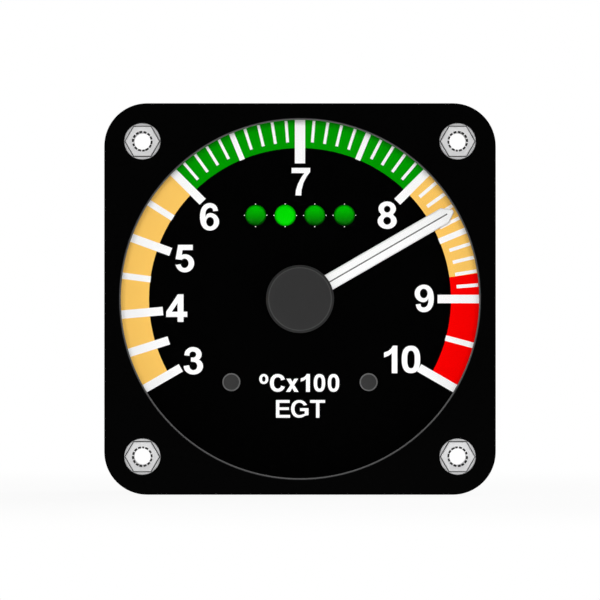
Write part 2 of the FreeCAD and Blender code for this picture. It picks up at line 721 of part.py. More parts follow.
screw_end = f"({board_back} + board_screw_length - board_thickness)"
front_pillar = cut(
    "front_pillar",
    fuse(
        "front_pillar_blank",
        hexagon("front_pillar_hexagon", "pillar_across", board_back, main_front),
        rod("front_pillar_stud", "stud_radius", main_front, f"({main_front} + stud_length)"),
    ),
    rod("front_pillar_bore", "stud_radius", board_back, f"({screw_end} + end_play)"),
)
front_pillars = copies("front_pillars", front_pillar, four_corners(pillar_offset))

board_head_front = f"({board_front} - board_screw_head_depth)"
board_screw = fuse(
    "board_screw",
    hexagon("board_screw_head", "board_screw_across", board_head_front, board_front),
    rod("board_screw_shank", "stud_radius", board_front, screw_end),
)
board_screws = copies("board_screws", board_screw, four_corners(pillar_offset))

rear_pillar = cut(
    "rear_pillar",
    hexagon("rear_pillar_hexagon", "pillar_across", main_back, cover_inner),
    rod("rear_pillar_bore", "stud_radius", main_back, cover_inner),
)
rear_pillars = copies("rear_pillars", rear_pillar, four_corners(pillar_offset))


# Pointer: needle, cap and bush on the output shaft

needle = doc.addObject("PartDesign::Body", "pointer_needle")
needle_side = f"({needle_back} - needle_edge)"
blade = needle.newObject("PartDesign::Pad", "needle_blade")
blade.Profile = draw(needle, "XY_Plane", [[
    ("-needle_width / 2", needle_back),
    ("needle_width / 2", needle_back),
    ("needle_width / 2", needle_side),
    ("0", needle_ridge),
    ("-needle_width / 2", needle_side),
]])
bind(blade, Length=needle_tip)
tip_outside = f"({needle_tip} + overshoot)"
tip_start = f"({needle_tip} - needle_taper)"
tip_cut = needle.newObject("PartDesign::Pocket", "needle_point")
tip_cut.Profile = draw(needle, "XZ_Plane", [[
    (f"{side}needle_tip_width / 2", needle_tip),
    (f"{side}needle_tip_width / 2", tip_outside),
    (f"{side}needle_width", tip_outside),
    (f"{side}needle_width", tip_start),
    (f"{side}needle_width / 2", tip_start),
] for side in ("", "-")])
tip_cut.Midplane = True
tip_cut.Type = "ThroughAll"
eye_outline = draw(needle, "XZ_Plane", [("0", "0", "needle_eye_radius")])
eye_outline.setExpression("AttachmentOffset.Base.z", expression(f"-{needle_back}"))
needle_eye = needle.newObject("PartDesign::Pad", "needle_eye")
needle_eye.Profile = eye_outline
bind(needle_eye, Length="needle_edge")
needle_hole = needle.newObject("PartDesign::Pocket", "needle_hole")
needle_hole.Profile = draw(needle, "XZ_Plane", [("0", "0", "bush_radius")])
needle_hole.Midplane = True
needle_hole.Type = "ThroughAll"
needle.Placement.Rotation = face_rotation(value("needle_angle"))
needle.setExpression("Placement.Rotation.Angle", expression("needle_angle"))

cap_back = f"({needle_back} - cap_skirt_air)"
cap_shell = turned("cap_shell", [
    ("0", cap_front),
    ("cap_radius - cap_edge", cap_front),
    ("cap_radius", f"{cap_front} + cap_edge"),
    ("cap_radius", cap_back),
    ("cap_radius - cap_wall", cap_back),
    ("cap_radius - cap_wall", bush_front),
    ("0", bush_front),
])
cap_slot = block(
    "cap_slot",
    ("-needle_width / 2 - seat_air", "needle_width / 2 + seat_air"),
    (f"{needle_ridge} - seat_air", f"{cap_back} + overshoot"),
    ("0", "cap_radius + overshoot"),
)
pointer_cap = cut("pointer_cap", cap_shell, cap_slot)
pointer_cap.Placement.Rotation = face_rotation(value("needle_angle"))
pointer_cap.setExpression("Placement.Rotation.Angle", expression("needle_angle"))

shaft_front = f"({bush_front} + shaft_end_air)"
pointer_bush = turned("pointer_bush", [
    ("0", bush_front),
    ("bush_radius", bush_front),
    ("bush_radius", needle_back),
    ("bush_flange_radius", needle_back),
    ("bush_flange_radius", bush_back),
    ("shaft_radius", bush_back),
    ("shaft_radius", shaft_front),
    ("0", shaft_front),
])

pivot_end = f"({rear_inner} + pivot_depth)"
output_shaft = turned("output_shaft", [
    ("0", shaft_front),
    ("shaft_radius", shaft_front),
    ("shaft_radius", wheel_back),
    ("pivot_radius", wheel_back),
    ("pivot_radius", f"{pivot_end} - end_play"),
    ("0", f"{pivot_end} - end_play"),
])


# Gear train: two stages of six to one inside the motor

def involute(angle):
    return math.tan(angle) - angle


def toothed_disc(name, teeth, shift, turn, front, back, z="0"):
    """Spur gear with one tooth centred at an angle, in radians from +X towards +Z.

    Each flank is an involute for a pressure angle of 20 degrees, drawn in short chords.
    """
    module = value("gear_module")
    pressure = math.radians(20)
    pitch = module * teeth / 2
    base = pitch * math.cos(pressure)
    tip = pitch + module * (1 + shift)
    root = pitch - module * (1.25 - shift)
    half_tooth = (math.pi / 2 + 2 * shift * math.tan(pressure)) / teeth - value("tooth_relief") / (2 * pitch)
    lowest = max(base, root)
    chords = 2 if root > base else 3
    flank = [(root, half_tooth + involute(pressure))] if root < base else []
    for step in range(chords + 1):
        radius = lowest + (tip - lowest) * step / chords
        away = half_tooth + involute(pressure) - involute(math.acos(base / radius))
        flank.append((radius, away))
    corners = []
    for tooth in range(teeth):
        middle = turn + 2 * math.pi * tooth / teeth
        corners += [(radius, middle - away) for radius, away in flank]
        corners += [(radius, middle + away) for radius, away in reversed(flank)]
    points = [V(radius * math.cos(angle), 0, radius * math.sin(angle)) for radius, angle in corners]
    outline = Part.makePolygon(points + points[:1])
    gear = doc.addObject("Part::Feature", name)
    gear.Shape = Part.Face(outline).extrude(V(0, value(back) - value(front), 0))
    move(gear, "0", front, z)
    return gear


pinion_count = int(value("pinion_teeth"))
wheel_count = int(value("wheel_teeth"))
shift = value("profile_shift")
upward = math.pi / 2
gap_downward = -math.pi / 2 + math.pi / wheel_count

lug_front = f"({shell_inner} + lug_air)"
output_wheel = cut(
    "output_wheel",
    fuse(
        "output_wheel_blank",
        toothed_disc("output_teeth", wheel_count, -shift, gap_downward, wheel_front, wheel_back),
        sector("stop_lug", lug_front, f"({wheel_front} + end_play)", "needle_angle + 180", "lug_half_angle"),
    ),
    rod("output_wheel_bore", "shaft_radius", wheel_front, wheel_back),
)

intermediate_gear = cut(
    "intermediate_gear",
    fuse(
        "intermediate_blank",
        toothed_disc(
            "intermediate_pinion", pinion_count, shift, upward, pinion_front, second_front, middle_height,
        ),
        toothed_disc(
            "intermediate_teeth", wheel_count, -shift, gap_downward, second_front, second_back,
            middle_height,
        ),
    ),
    rod("intermediate_bore", "pivot_radius + pivot_air", pinion_front, second_back, "0", middle_height),
)

arbor_front = f"({shell_inner} - pivot_depth)"
intermediate_arbor = rod("intermediate_arbor", "pivot_radius", arbor_front, pivot_end, "0", middle_height)

rotor_spindle = turned("rotor_spindle", [
    ("0", f"{arbor_front} + end_play"),
    ("spindle_radius", f"{arbor_front} + end_play"),
    ("spindle_radius", rotor_front),
    ("hub_radius", rotor_front),
    ("hub_radius", magnet_back),
    ("spindle_radius", magnet_back),
    ("spindle_radius", f"{pivot_end} - end_play"),
    ("0", f"{pivot_end} - end_play"),
], "0", rotor_height)
rotor_teeth = toothed_disc("rotor_teeth", pinion_count, shift, upward, rotor_front, rotor_back, rotor_height)
rotor_pinion = fuse("rotor_pinion", rotor_teeth, rotor_spindle)

rotor_magnet = turned("rotor_magnet", [
    ("hub_radius", magnet_front),
    ("magnet_radius", magnet_front),
    ("magnet_radius", magnet_back),
    ("hub_radius", magnet_back),
], "0", rotor_height)


# Motor: stator plate, bobbins, windings and pins

ring = rod("pole_ring", "pole_radius", stator_front, stator_back, "0", rotor_height)
stator_depth = (stator_front, stator_back)
outer_edge = f"({limb_offset} + limb_width / 2)"
inner_edge = f"({limb_offset} - limb_width / 2)"
yoke = block("yoke", (f"-{outer_edge}", outer_edge), stator_depth, (yoke_bottom, yoke_top))
stem = block("stem", ("-limb_width / 2", "limb_width / 2"), stator_depth, (yoke_bottom, rotor_height))
crossbar = block("crossbar", (f"-{outer_edge}", outer_edge), stator_depth, (arm_bottom, arm_top))
limbs = [
    block("limb_right", (inner_edge, outer_edge), stator_depth, (yoke_bottom, arm_top)),
    block("limb_left", (f"-{outer_edge}", f"-{inner_edge}"), stator_depth, (yoke_bottom, arm_top)),
]
bore = rod("pole_bore_hole", "pole_bore", stator_front, stator_back, "0", rotor_height)
top_slot = block(
    "pole_slot_top", ("-pole_slot / 2", "pole_slot / 2"), stator_depth,
    (rotor_height, f"{rotor_height} + pole_radius + overshoot"),
)
lower_slots = []
for count, turn in enumerate((120, 240)):
    slot = doc.addObject("Part::Box", f"pole_slot_{count + 1}")
    bind(slot, Length="pole_slot", Width="stator_thickness", Height="pole_radius")
    slot.Placement.Rotation = face_rotation(turn)
    move(slot, "0", stator_front, rotor_height)
    lower_slots.append(slot)
motor_stator = cut(
    "motor_stator", fuse("stator_blank", ring, yoke, stem, crossbar, *limbs), bore, top_slot, *lower_slots,
)

bobbin_low = f"({yoke_top} + bobbin_air)"
bobbin_high = f"({arm_bottom} - bobbin_air)"
winding_low = f"({bobbin_low} + bobbin_flange)"
winding_high = f"({bobbin_high} - bobbin_flange)"
core_half_width = "(limb_width / 2 + bobbin_air / 2 + bobbin_wall)"
core_half_depth = "(stator_thickness / 2 + bobbin_air / 2 + bobbin_wall)"


def around_limb(name, limb, half_width, half_depth, heights):
    """Box centred on a wound limb."""
    return block(
        name,
        (f"{limb} - {half_width}", f"{limb} + {half_width}"),
        (f"{stator_middle} - {half_depth}", f"{stator_middle} + {half_depth}"),
        heights,
    )


coils = {}
for side, limb in (("left", f"-{limb_offset}"), ("right", limb_offset)):
    core = around_limb(f"core_{side}", limb, core_half_width, core_half_depth, (bobbin_low, bobbin_high))
    flanges = [
        around_limb(f"flange_{side}_{end}", limb, "bobbin_half_width", "bobbin_half_depth", heights)
        for end, heights in (("low", (bobbin_low, winding_low)), ("high", (winding_high, bobbin_high)))
    ]
    passage = around_limb(
        f"passage_{side}", limb, "(limb_width / 2 + bobbin_air / 2)",
        "(stator_thickness / 2 + bobbin_air / 2)", (bobbin_low, bobbin_high),
    )
    coils[f"coil_bobbin_{side}"] = cut(
        f"coil_bobbin_{side}", fuse(f"bobbin_{side}_blank", core, *flanges), passage,
    )
    wire = around_limb(
        f"wire_{side}", limb, "(bobbin_half_width - winding_margin)",
        "(bobbin_half_depth - winding_margin)", (winding_low, winding_high),
    )
    wire_core = around_limb(
        f"wire_core_{side}", limb, core_half_width, core_half_depth, (winding_low, winding_high),
    )
    coils[f"coil_winding_{side}"] = cut(f"coil_winding_{side}", wire, wire_core)

pin_front = f"({board_front} - pin_stub)"
pin_back = f"({stator_middle} - bobbin_half_depth)"
motor_pins = group("motor_pins", [
    square_pin(f"motor_pin_{count}", x, z, "pin_width", pin_front, pin_back)
    for count, (x, z) in enumerate(pin_places, 1)
])


# Motor shells and their screws

def motor_outline(inset):
    return rectangle(
        f"({motor_half_width} - {inset})", f"({motor_bottom} + {inset})", f"(motor_top - {inset})",
    )


screw_tip = f"({rear_inner} - end_play)"
front_shell_blank = fuse(
    "front_shell_blank",
    cut(
        "front_shell_cup",
        plate("front_shell_outside", [motor_outline("0")], board_back, stator_front, "motor_corner"),
        plate(
            "front_shell_inside", [motor_outline("shell_wall")], shell_inner, stator_front,
            "motor_corner - shell_wall",
        ),
    ),
    rod("shaft_bearing", "bearing_radius", f"({board_front} - bearing_nose)", shell_inner),
    rod("arbor_front_boss", "boss_radius", board_back, f"({pinion_front} - end_play)", "0", middle_height),
    rod("rotor_front_boss", "boss_radius", board_back, f"({rotor_front} - 2 * end_play)", "0", rotor_height),
    sector("stop_rib", board_back, f"({shell_inner} + rib_height)", "0", "rib_half_angle"),
    *[
        rod(f"front_screw_boss_{count}", "screw_boss_radius", board_back, stator_front, x, z)
        for count, (x, z) in enumerate(motor_screw_places, 1)
    ],
)
motor_front_shell = cut(
    "motor_front_shell",
    front_shell_blank,
    rod("shaft_passage", "shaft_radius + pivot_air", f"({board_front} - bearing_nose)", shell_inner),
    rod("arbor_front_seat", "pivot_radius", arbor_front, pinion_front, "0", middle_height),
    rod("rotor_front_seat", "spindle_radius + pivot_air", arbor_front, rotor_front, "0", rotor_height),
    *[
        rod(f"front_screw_hole_{count}", "motor_screw_radius + seat_air", board_back, stator_front, x, z)
        for count, (x, z) in enumerate(motor_screw_places, 1)
    ],
    *[
        square_pin(f"pin_hole_{count}", x, z, "pin_width + 2 * lead_hole_air", board_back, shell_inner)
        for count, (x, z) in enumerate(pin_places, 1)
    ],
)

boss_front = f"({second_back} + end_play)"
rear_shell_blank = fuse(
    "rear_shell_blank",
    cut(
        "rear_shell_cup",
        plate("rear_shell_outside", [motor_outline("0")], stator_front, shell_back, "motor_corner"),
        plate(
            "rear_shell_inside", [motor_outline("shell_wall")], stator_front, rear_inner,
            "motor_corner - shell_wall",
        ),
    ),
    rod("output_rear_boss", "boss_radius", boss_front, shell_back),
    rod("arbor_rear_boss", "boss_radius", boss_front, shell_back, "0", middle_height),
    rod("rotor_rear_boss", "boss_radius", f"({magnet_back} + 2 * end_play)", shell_back, "0", rotor_height),
    block(
        "stator_seat",
        (f"-{inner_edge}", inner_edge), (stator_back, shell_back), (yoke_bottom, f"{yoke_top} - end_play"),
    ),
    *[
        rod(f"rear_screw_boss_{count}", "screw_boss_radius", stator_front, shell_back, x, z)
        for count, (x, z) in enumerate(motor_screw_places, 1)
    ],
)
motor_rear_shell = cut(
    "motor_rear_shell",
    rear_shell_blank,
    rod("output_rear_seat", "pivot_radius + pivot_air", boss_front, pivot_end),
    rod("arbor_rear_seat", "pivot_radius", boss_front, pivot_end, "0", middle_height),
    rod("rotor_rear_seat", "spindle_radius + pivot_air", magnet_back, pivot_end, "0", rotor_height),
    *[
        rod(f"rear_screw_hole_{count}", "motor_screw_radius", stator_front, rear_inner, x, z)
        for count, (x, z) in enumerate(motor_screw_places, 1)
    ],
)

motor_head_front = f"({board_front} - motor_screw_head_depth)"
motor_screw = fuse(
    "motor_screw",
    hexagon("motor_screw_head", "motor_screw_across", motor_head_front, board_front),
    rod("motor_screw_shank", "motor_screw_radius", board_front, screw_tip),
)
motor_screws = copies("motor_screws", motor_screw, motor_screw_places)


# Header between the boards

header_half = "(header_columns * header_pitch / 2)"
socket_front = f"({main_front} - socket_depth)"
pins_end = f"({socket_front} + socket_reach)"
strip_back = f"({board_back} + strip_depth)"
header_rows = (f"{header_height} - header_pitch", f"{header_height} + header_pitch")

header_strip = cut(
    "header_strip",
    block("header_strip_block", (f"-{header_half}", header_half), (board_back, strip_back), header_rows),
    *[
        square_pin(f"strip_hole_{count}", x, z, "header_pin_width", board_back, strip_back)
        for count, (x, z) in enumerate(header_places, 1)
    ],
)
header_pins = group("header_pins", [
    square_pin(
        f"header_pin_{count}", x, z, "header_pin_width", f"({board_front} - header_pin_stub)", pins_end,
    )
    for count, (x, z) in enumerate(header_places, 1)
])
header_socket = cut(
    "header_socket",
    block("header_socket_block", (f"-{header_half}", header_half), (socket_front, main_front), header_rows),
    *[
        square_pin(
            f"socket_hole_{count}", x, z, "header_pin_width + 2 * seat_air",
            socket_front, f"({main_front} - socket_bottom)",
        )
        for count, (x, z) in enumerate(header_places, 1)
    ],
)


# Parts on the main board

def board_part(name, x, z, width, height, depth):
    """Component on the front of the main board."""
    return block(
        name,
        (f"{x} - {width} / 2", f"{x} + {width} / 2"),
        (f"{main_front} - {depth}", main_front),
        (f"{z} - {height} / 2", f"{z} + {height} / 2"),
    )


microcontroller = board_part(
    "microcontroller", "0", processor_height, "processor_width", "processor_width", "processor_depth",
)
thermocouple_amplifiers = group("thermocouple_amplifiers", [
    board_part(
        f"amplifier_{count + 1}", f"{count - 1.5} * amplifier_pitch", "-amplifier_drop",
        "amplifier_width", "amplifier_length", "amplifier_depth",
    )
    for count in range(4)
])
voltage_regulator = board_part(
    "voltage_regulator", f"-{regulator_offset}", "0", "regulator_width", "regulator_width",
    "regulator_depth",
)
filter_capacitors = group("filter_capacitors", [
    rod(
        f"filter_capacitor_{count}", "capacitor_radius", f"({main_front} - capacitor_length)", main_front,
        capacitor_offset, f"{side}capacitor_spread",
    )
    for count, side in enumerate(("", "-"), 1)
])


# Rear connector: shell, insulator, contacts and jack screws

def shroud_outline(inset):
    """Outline of the connector, wide at the top and narrower below."""
    high = f"(shroud_half_height - {inset})"
    wide = f"({shroud_half_width} - {inset})"
    narrow = f"({shroud_half_width} - shroud_slant - {inset})"
    return [(f"-{narrow}", f"-{high}"), (narrow, f"-{high}"), (wide, high), (f"-{wide}", high)]


connector_shell = cut(
    "connector_shell",
    fuse(
        "connector_shell_blank",
        plate(
            "connector_plate", [rectangle("plate_half_width", "-plate_half_height", "plate_half_height")],
            cover_outer, plate_back, "plate_corner",
        ),
        plate("connector_shroud", [shroud_outline("0")], cover_outer, shroud_back, "shroud_corner"),
    ),
    plate(
        "connector_hollow", [shroud_outline("shroud_wall")], cover_outer, shroud_back,
        "shroud_corner - shroud_wall",
    ),
    rod("plate_hole_right", "jack_stud_radius + seat_air", cover_outer, plate_back, jack_offset),
    rod("plate_hole_left", "jack_stud_radius + seat_air", cover_outer, plate_back, f"-{jack_offset}"),
)

insulator_front = f"({cover_outer} - insulator_reach)"
insulator_back = f"({shroud_back} - insulator_sink)"
contact_holes = [
    prism(f"contact_hole_{count}", "contact_sides", "contact_radius", insulator_front, insulator_back, x, z)
    for count, (x, z) in enumerate(contact_places, 1)
]
connector_insulator = cut(
    "connector_insulator",
    plate(
        "insulator_block", [shroud_outline("shroud_wall")], insulator_front, insulator_back,
        "shroud_corner - shroud_wall",
    ),
    *contact_holes,
)

contact_back = f"({insulator_back} - contact_sink)"
tail_front = f"({main_front} - tail_stub)"
bore_front = f"({contact_back} - contact_grip)"
contact = cut(
    "contact",
    fuse(
        "contact_blank",
        prism("contact_sleeve", "contact_sides", "contact_radius", insulator_front, contact_back),
        square_pin("contact_tail", "0", "0", "tail_width", tail_front, insulator_front),
    ),
    prism("contact_hollow", "contact_sides", "contact_bore", bore_front, contact_back),
)
connector_contacts = copies("connector_contacts", contact, contact_places)

jack_end = f"({plate_back} + jack_height)"
jack_screw = cut(
    "jack_screw",
    fuse(
        "jack_screw_blank",
        hexagon("jack_hexagon", "jack_across", plate_back, jack_end),
        rod("jack_stud", "jack_stud_radius", f"({plate_back} - jack_stud_length)", plate_back),
    ),
    rod("jack_screw_bore", "jack_bore", f"({plate_back} + plate_thickness)", jack_end),
)
jack_places = [(jack_offset, "0"), (f"-{jack_offset}", "0")]
connector_jackscrews = copies("connector_jackscrews", jack_screw, jack_places)


# Rear cover, its seal and its screws

groove_back = f"({groove_front} + groove_width)"
groove_floor = f"({spigot_radius} - groove_depth)"
cover_blank = turned("cover_blank", [
    ("0", cover_inner),
    (spigot_inner, cover_inner),
    (spigot_inner, spigot_front),
    (spigot_radius, spigot_front),
    (spigot_radius, groove_front),
    (groove_floor, groove_front),
    (groove_floor, groove_back),
    (spigot_radius, groove_back),
    (spigot_radius, tube_back),
    ("barrel_radius", tube_back),
    ("barrel_radius", f"{cover_outer} - cover_edge"),
    ("barrel_radius - cover_edge", cover_outer),
    ("0", cover_outer),
])
cover_screw_front = f"({cover_outer} - cover_screw_length)"
head_start = f"({cover_outer} - seat_air - cover_screw_head_depth)"
head_seats = [
    turned(f"cover_screw_seat_{count}", [
        ("0", f"{cover_inner} - overshoot"),
        ("cover_screw_radius", f"{cover_inner} - overshoot"),
        ("cover_screw_radius", head_start),
        ("cover_screw_head_radius", f"{cover_outer} - seat_air"),
        ("cover_screw_head_radius", f"{cover_outer} + overshoot"),
        ("0", f"{cover_outer} + overshoot"),
    ], x, z)
    for count, (x, z) in enumerate(four_corners(pillar_offset), 1)
]
rear_cover = cut(
    "rear_cover",
    cover_blank,
    plate(
        "connector_cutout", [shroud_outline("(shroud_wall - seat_air)")], cover_inner, cover_outer,
        "shroud_corner - shroud_wall",
    ),
    rod("jack_hole_right", "jack_stud_radius", cover_inner, cover_outer, jack_offset),
    rod("jack_hole_left", "jack_stud_radius", cover_inner, cover_outer, f"-{jack_offset}"),
    *head_seats,
    *side_screws("cover_hole", "seat_air", "barrel_radius + overshoot"),
)

cover_screw = turned("cover_screw", [
    ("0", cover_screw_front),
    ("cover_screw_radius", cover_screw_front),
    ("cover_screw_radius", head_start),
    ("cover_screw_head_radius", f"{cover_outer} - seat_air"),
    ("0", f"{cover_outer} - seat_air"),
])
cover_screws = copies("cover_screws", cover_screw, four_corners(pillar_offset))
cover_side_screws = group("cover_side_screws", side_screws("side_screw", "0", "barrel_radius - seat_air"))

seal_inner = f"({groove_floor} + seat_air)"
seal_outer = f"({seal_inner} + seal_thickness)"
seal_front = f"({groove_front} + (groove_width - seal_thickness) / 2)"
seal_back = f"({seal_front} + seal_thickness)"
cover_seal = turned("cover_seal", [
    (seal_inner, seal_front), (seal_outer, seal_front), (seal_outer, seal_back), (seal_inner, seal_back),
])


# Check every object, then write one file for each piece

SUB_PARTS = [
    front_flange, mounting_inserts, lens_gasket, glass_lens, case_tube,
    dial_plate, dial_screws, dial_posts, *lamps,
    display_board, main_board, front_pillars, rear_pillars, board_screws,
    needle, pointer_cap, pointer_bush, output_shaft, output_wheel,
    intermediate_gear, intermediate_arbor, rotor_pinion, rotor_magnet,
    motor_front_shell, motor_rear_shell, motor_stator, *coils.values(), motor_pins, motor_screws,
    header_strip, header_pins, header_socket,
    microcontroller, thermocouple_amplifiers, voltage_regulator, filter_capacitors,
    connector_shell, connector_insulator, connector_contacts, connector_jackscrews,
    rear_cover, cover_screws, cover_side_screws, cover_seal,
]

doc.recompute()
failed = [one.Name for one in doc.Objects if "Invalid" in one.State or "Error" in one.State]
if failed:
    raise RuntimeError("these objects did not compute: " + ", ".join(failed))
for piece in SUB_PARTS:
    if piece.Shape.isNull() or not piece.Shape.isValid() or not piece.Shape.Solids:
        raise RuntimeError(f"{piece.Label} has no valid solid")
for piece in SUB_PARTS:
    piece.Shape.exportStep(f"parts/{piece.Label}.step")
print(f"{len(SUB_PARTS)} pieces written")
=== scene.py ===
import math

import bmesh
import bpy
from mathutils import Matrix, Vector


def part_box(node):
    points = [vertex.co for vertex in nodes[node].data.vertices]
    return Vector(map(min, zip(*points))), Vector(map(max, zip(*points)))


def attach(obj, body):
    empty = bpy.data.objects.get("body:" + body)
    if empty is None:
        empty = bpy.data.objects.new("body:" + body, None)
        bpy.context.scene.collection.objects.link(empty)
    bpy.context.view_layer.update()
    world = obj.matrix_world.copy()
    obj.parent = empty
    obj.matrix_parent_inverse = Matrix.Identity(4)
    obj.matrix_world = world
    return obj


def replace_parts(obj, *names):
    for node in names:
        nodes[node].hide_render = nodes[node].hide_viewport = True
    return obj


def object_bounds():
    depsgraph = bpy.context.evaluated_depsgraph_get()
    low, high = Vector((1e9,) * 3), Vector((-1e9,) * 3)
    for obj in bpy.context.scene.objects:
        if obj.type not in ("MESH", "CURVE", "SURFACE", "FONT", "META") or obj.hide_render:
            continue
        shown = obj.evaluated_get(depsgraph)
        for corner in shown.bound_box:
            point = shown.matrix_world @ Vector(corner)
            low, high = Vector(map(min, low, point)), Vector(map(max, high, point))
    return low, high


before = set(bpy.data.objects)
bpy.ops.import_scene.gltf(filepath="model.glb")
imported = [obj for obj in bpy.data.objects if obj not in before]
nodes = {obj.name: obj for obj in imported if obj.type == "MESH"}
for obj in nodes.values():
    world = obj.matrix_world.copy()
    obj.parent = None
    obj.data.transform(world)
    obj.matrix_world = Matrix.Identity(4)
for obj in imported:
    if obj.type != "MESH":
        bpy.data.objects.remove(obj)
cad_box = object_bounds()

scene = bpy.context.scene


# Front flange
# The square flange is machined from aluminium plate and anodised black, and its face is painted
# dead black against glare. The window is bevelled last, so a hair line of grey metal goes round
# the glass. That grey also stands in as a painted highlight where the bevel catches the light.

MM = 0.001
# Sockets of a Mix node that mixes colours
COLOUR_A, COLOUR_B, COLOUR_OUT = 6, 7, 2
GRAINS_PER_PATCH = 5
UNEVEN_ROUGHNESS = 0.05
FACING_FRONT = -0.9
WINDOW_BEVEL = (26.78, 26.98)


def colour(text):
    """Linear colour from sRGB hex digits."""
    parts = [int(text[start:start + 2], 16) / 255 for start in (0, 2, 4)]
    linear = [
        part / 12.92 if part <= 0.04045 else ((part + 0.055) / 1.055) ** 2.4 for part in parts
    ]
    return (*linear, 1.0)


def add(tree, kind, inputs=None, **settings):
    """Add a node with its settings; an input is a value or the output that feeds it."""
    node = tree.nodes.new(kind)
    for key, setting in settings.items():
        setattr(node, key, setting)
    for key, given in (inputs or {}).items():
        if isinstance(given, bpy.types.NodeSocket):
            tree.links.new(given, node.inputs[key])
        else:
            node.inputs[key].default_value = given
    return node


def empty_tree(owner):
    owner.use_nodes = True
    owner.node_tree.nodes.clear()
    return owner.node_tree


def finish(name, tone, other_tone, grain, relief, roughness, **sockets):
    """Surface that wanders between two tones; grain and relief are in millimetres."""
    material = bpy.data.materials.new(name)
    tree = empty_tree(material)
    place = add(tree, "ShaderNodeTexCoord").outputs["Object"]
    patches = add(tree, "ShaderNodeTexNoise", {
        "Vector": place, "Scale": 1 / (GRAINS_PER_PATCH * grain * MM), "Detail": 5.0,
    })
    mixed = {0: patches.outputs["Fac"], COLOUR_A: colour(tone), COLOUR_B: colour(other_tone)}
    tones = add(tree, "ShaderNodeMix", mixed, data_type="RGBA")
    grains = add(tree, "ShaderNodeTexNoise", {
        "Vector": place, "Scale": 1 / (grain * MM), "Detail": 2.0,
    })
    bump = add(tree, "ShaderNodeBump", {"Height": grains.outputs["Fac"], "Distance": relief * MM})
    spread = {
        "Value": patches.outputs["Fac"],
        "To Min": roughness - UNEVEN_ROUGHNESS, "To Max": roughness + UNEVEN_ROUGHNESS,
    }
    surface = add(tree, "ShaderNodeBsdfPrincipled", {
        "Base Color": tones.outputs[COLOUR_OUT],
        "Roughness": add(tree, "ShaderNodeMapRange", spread).outputs[0],
        "Normal": bump.outputs[0],
        **{key.replace("_", " "): given for key, given in sockets.items()},
    })
    add(tree, "ShaderNodeOutputMaterial", {"Surface": surface.outputs[0]})
    return material


def dress(material, *names):
    """Give CAD pieces a finish."""
    for name in names:
        nodes[name].data.materials.clear()
        nodes[name].data.materials.append(material)


def band_by_radius(tree, inner, outer):
    """One between two distances from the pointer's axis, in millimetres."""
    place = add(tree, "ShaderNodeTexCoord").outputs["Object"]
    flat = add(tree, "ShaderNodeVectorMath", {0: place, 1: (1.0, 0.0, 1.0)}, operation="MULTIPLY")
    radius = add(tree, "ShaderNodeVectorMath", {0: flat.outputs[0]}, operation="LENGTH")
    band = {0: radius.outputs["Value"], 1: (inner + outer) / 2 * MM, 2: (outer - inner) / 2 * MM}
    return add(tree, "ShaderNodeMath", band, operation="COMPARE")


def off_front(tree):
    """One where a surface doesn't face the front, nought where it does."""
    normal = add(tree, "ShaderNodeTexCoord").outputs["Normal"]
    facing = add(tree, "ShaderNodeSeparateXYZ", {0: normal}).outputs["Y"]
    return add(tree, "ShaderNodeMath", {0: facing, 1: FACING_FRONT}, operation="GREATER_THAN")


def overlay(material, where, tone):
    """Another tone over a finish, where a node gives one."""
    tree = material.node_tree
    surface = next(node for node in tree.nodes if node.type == "BSDF_PRINCIPLED")
    below = surface.inputs["Base Color"].links[0].from_socket
    mixed = {0: where(tree).outputs[0], COLOUR_A: below, COLOUR_B: colour(tone)}
    tones = add(tree, "ShaderNodeMix", mixed, data_type="RGBA")
    tree.links.new(tones.outputs[COLOUR_OUT], surface.inputs["Base Color"])


# Black on aluminium: dead black paint on the face, with a very fine spray grain and hardly any
# gloss, a shade lighter anodising on the sides and back, and grey on the bevel, which is bare
# metal and painted highlight in one.
flange_paint = finish("matt_black_paint_on_aluminium", "010101", "030303", 0.12, 0.004, 0.5,
                      Specular_IOR_Level=0.02)
overlay(flange_paint, off_front, "1a1a1b")
# Grey band on the bevel: bare metal, and also a painted highlight.
overlay(flange_paint, lambda tree: band_by_radius(tree, *WINDOW_BEVEL), "565656")
dress(flange_paint, "front_flange")


# Case tube
# The case is a length of drawn aluminium tube, anodised black. Drawing leaves faint marks
# along it.

DRAW_MARK = 0.6
DRAW_MARK_DEPTH = 0.02
DRAW_MARK_WIDTHS_LONG = 50

# Black anodising on drawn tube: satin, with streaks along the axis, drawn coarser than they are
# so that they show.
anodised = bpy.data.materials.new("black_anodised_aluminium_tube")
tree = empty_tree(anodised)
place = add(tree, "ShaderNodeTexCoord").outputs["Object"]
stretched = add(tree, "ShaderNodeMapping", {
    "Vector": place, "Scale": (1.0, 1 / DRAW_MARK_WIDTHS_LONG, 1.0),
})
marks = add(tree, "ShaderNodeTexNoise", {
    "Vector": stretched.outputs[0], "Scale": 1 / (DRAW_MARK * MM), "Detail": 4.0,
})
shades = {0: marks.outputs["Fac"], COLOUR_A: colour("040405"), COLOUR_B: colour("242426")}
tones = add(tree, "ShaderNodeMix", shades, data_type="RGBA")
bump = add(tree, "ShaderNodeBump", {
    "Height": marks.outputs["Fac"], "Distance": DRAW_MARK_DEPTH * MM,
})
sheen = add(tree, "ShaderNodeMapRange", {
    "Value": marks.outputs["Fac"], "To Min": 0.5, "To Max": 0.26,
})
surface = add(tree, "ShaderNodeBsdfPrincipled", {
    "Base Color": tones.outputs[COLOUR_OUT], "Normal": bump.outputs[0],
    "Roughness": sheen.outputs[0], "Specular IOR Level": 0.3,
})
add(tree, "ShaderNodeOutputMaterial", {"Surface": surface.outputs[0]})
dress(anodised, "case_tube")
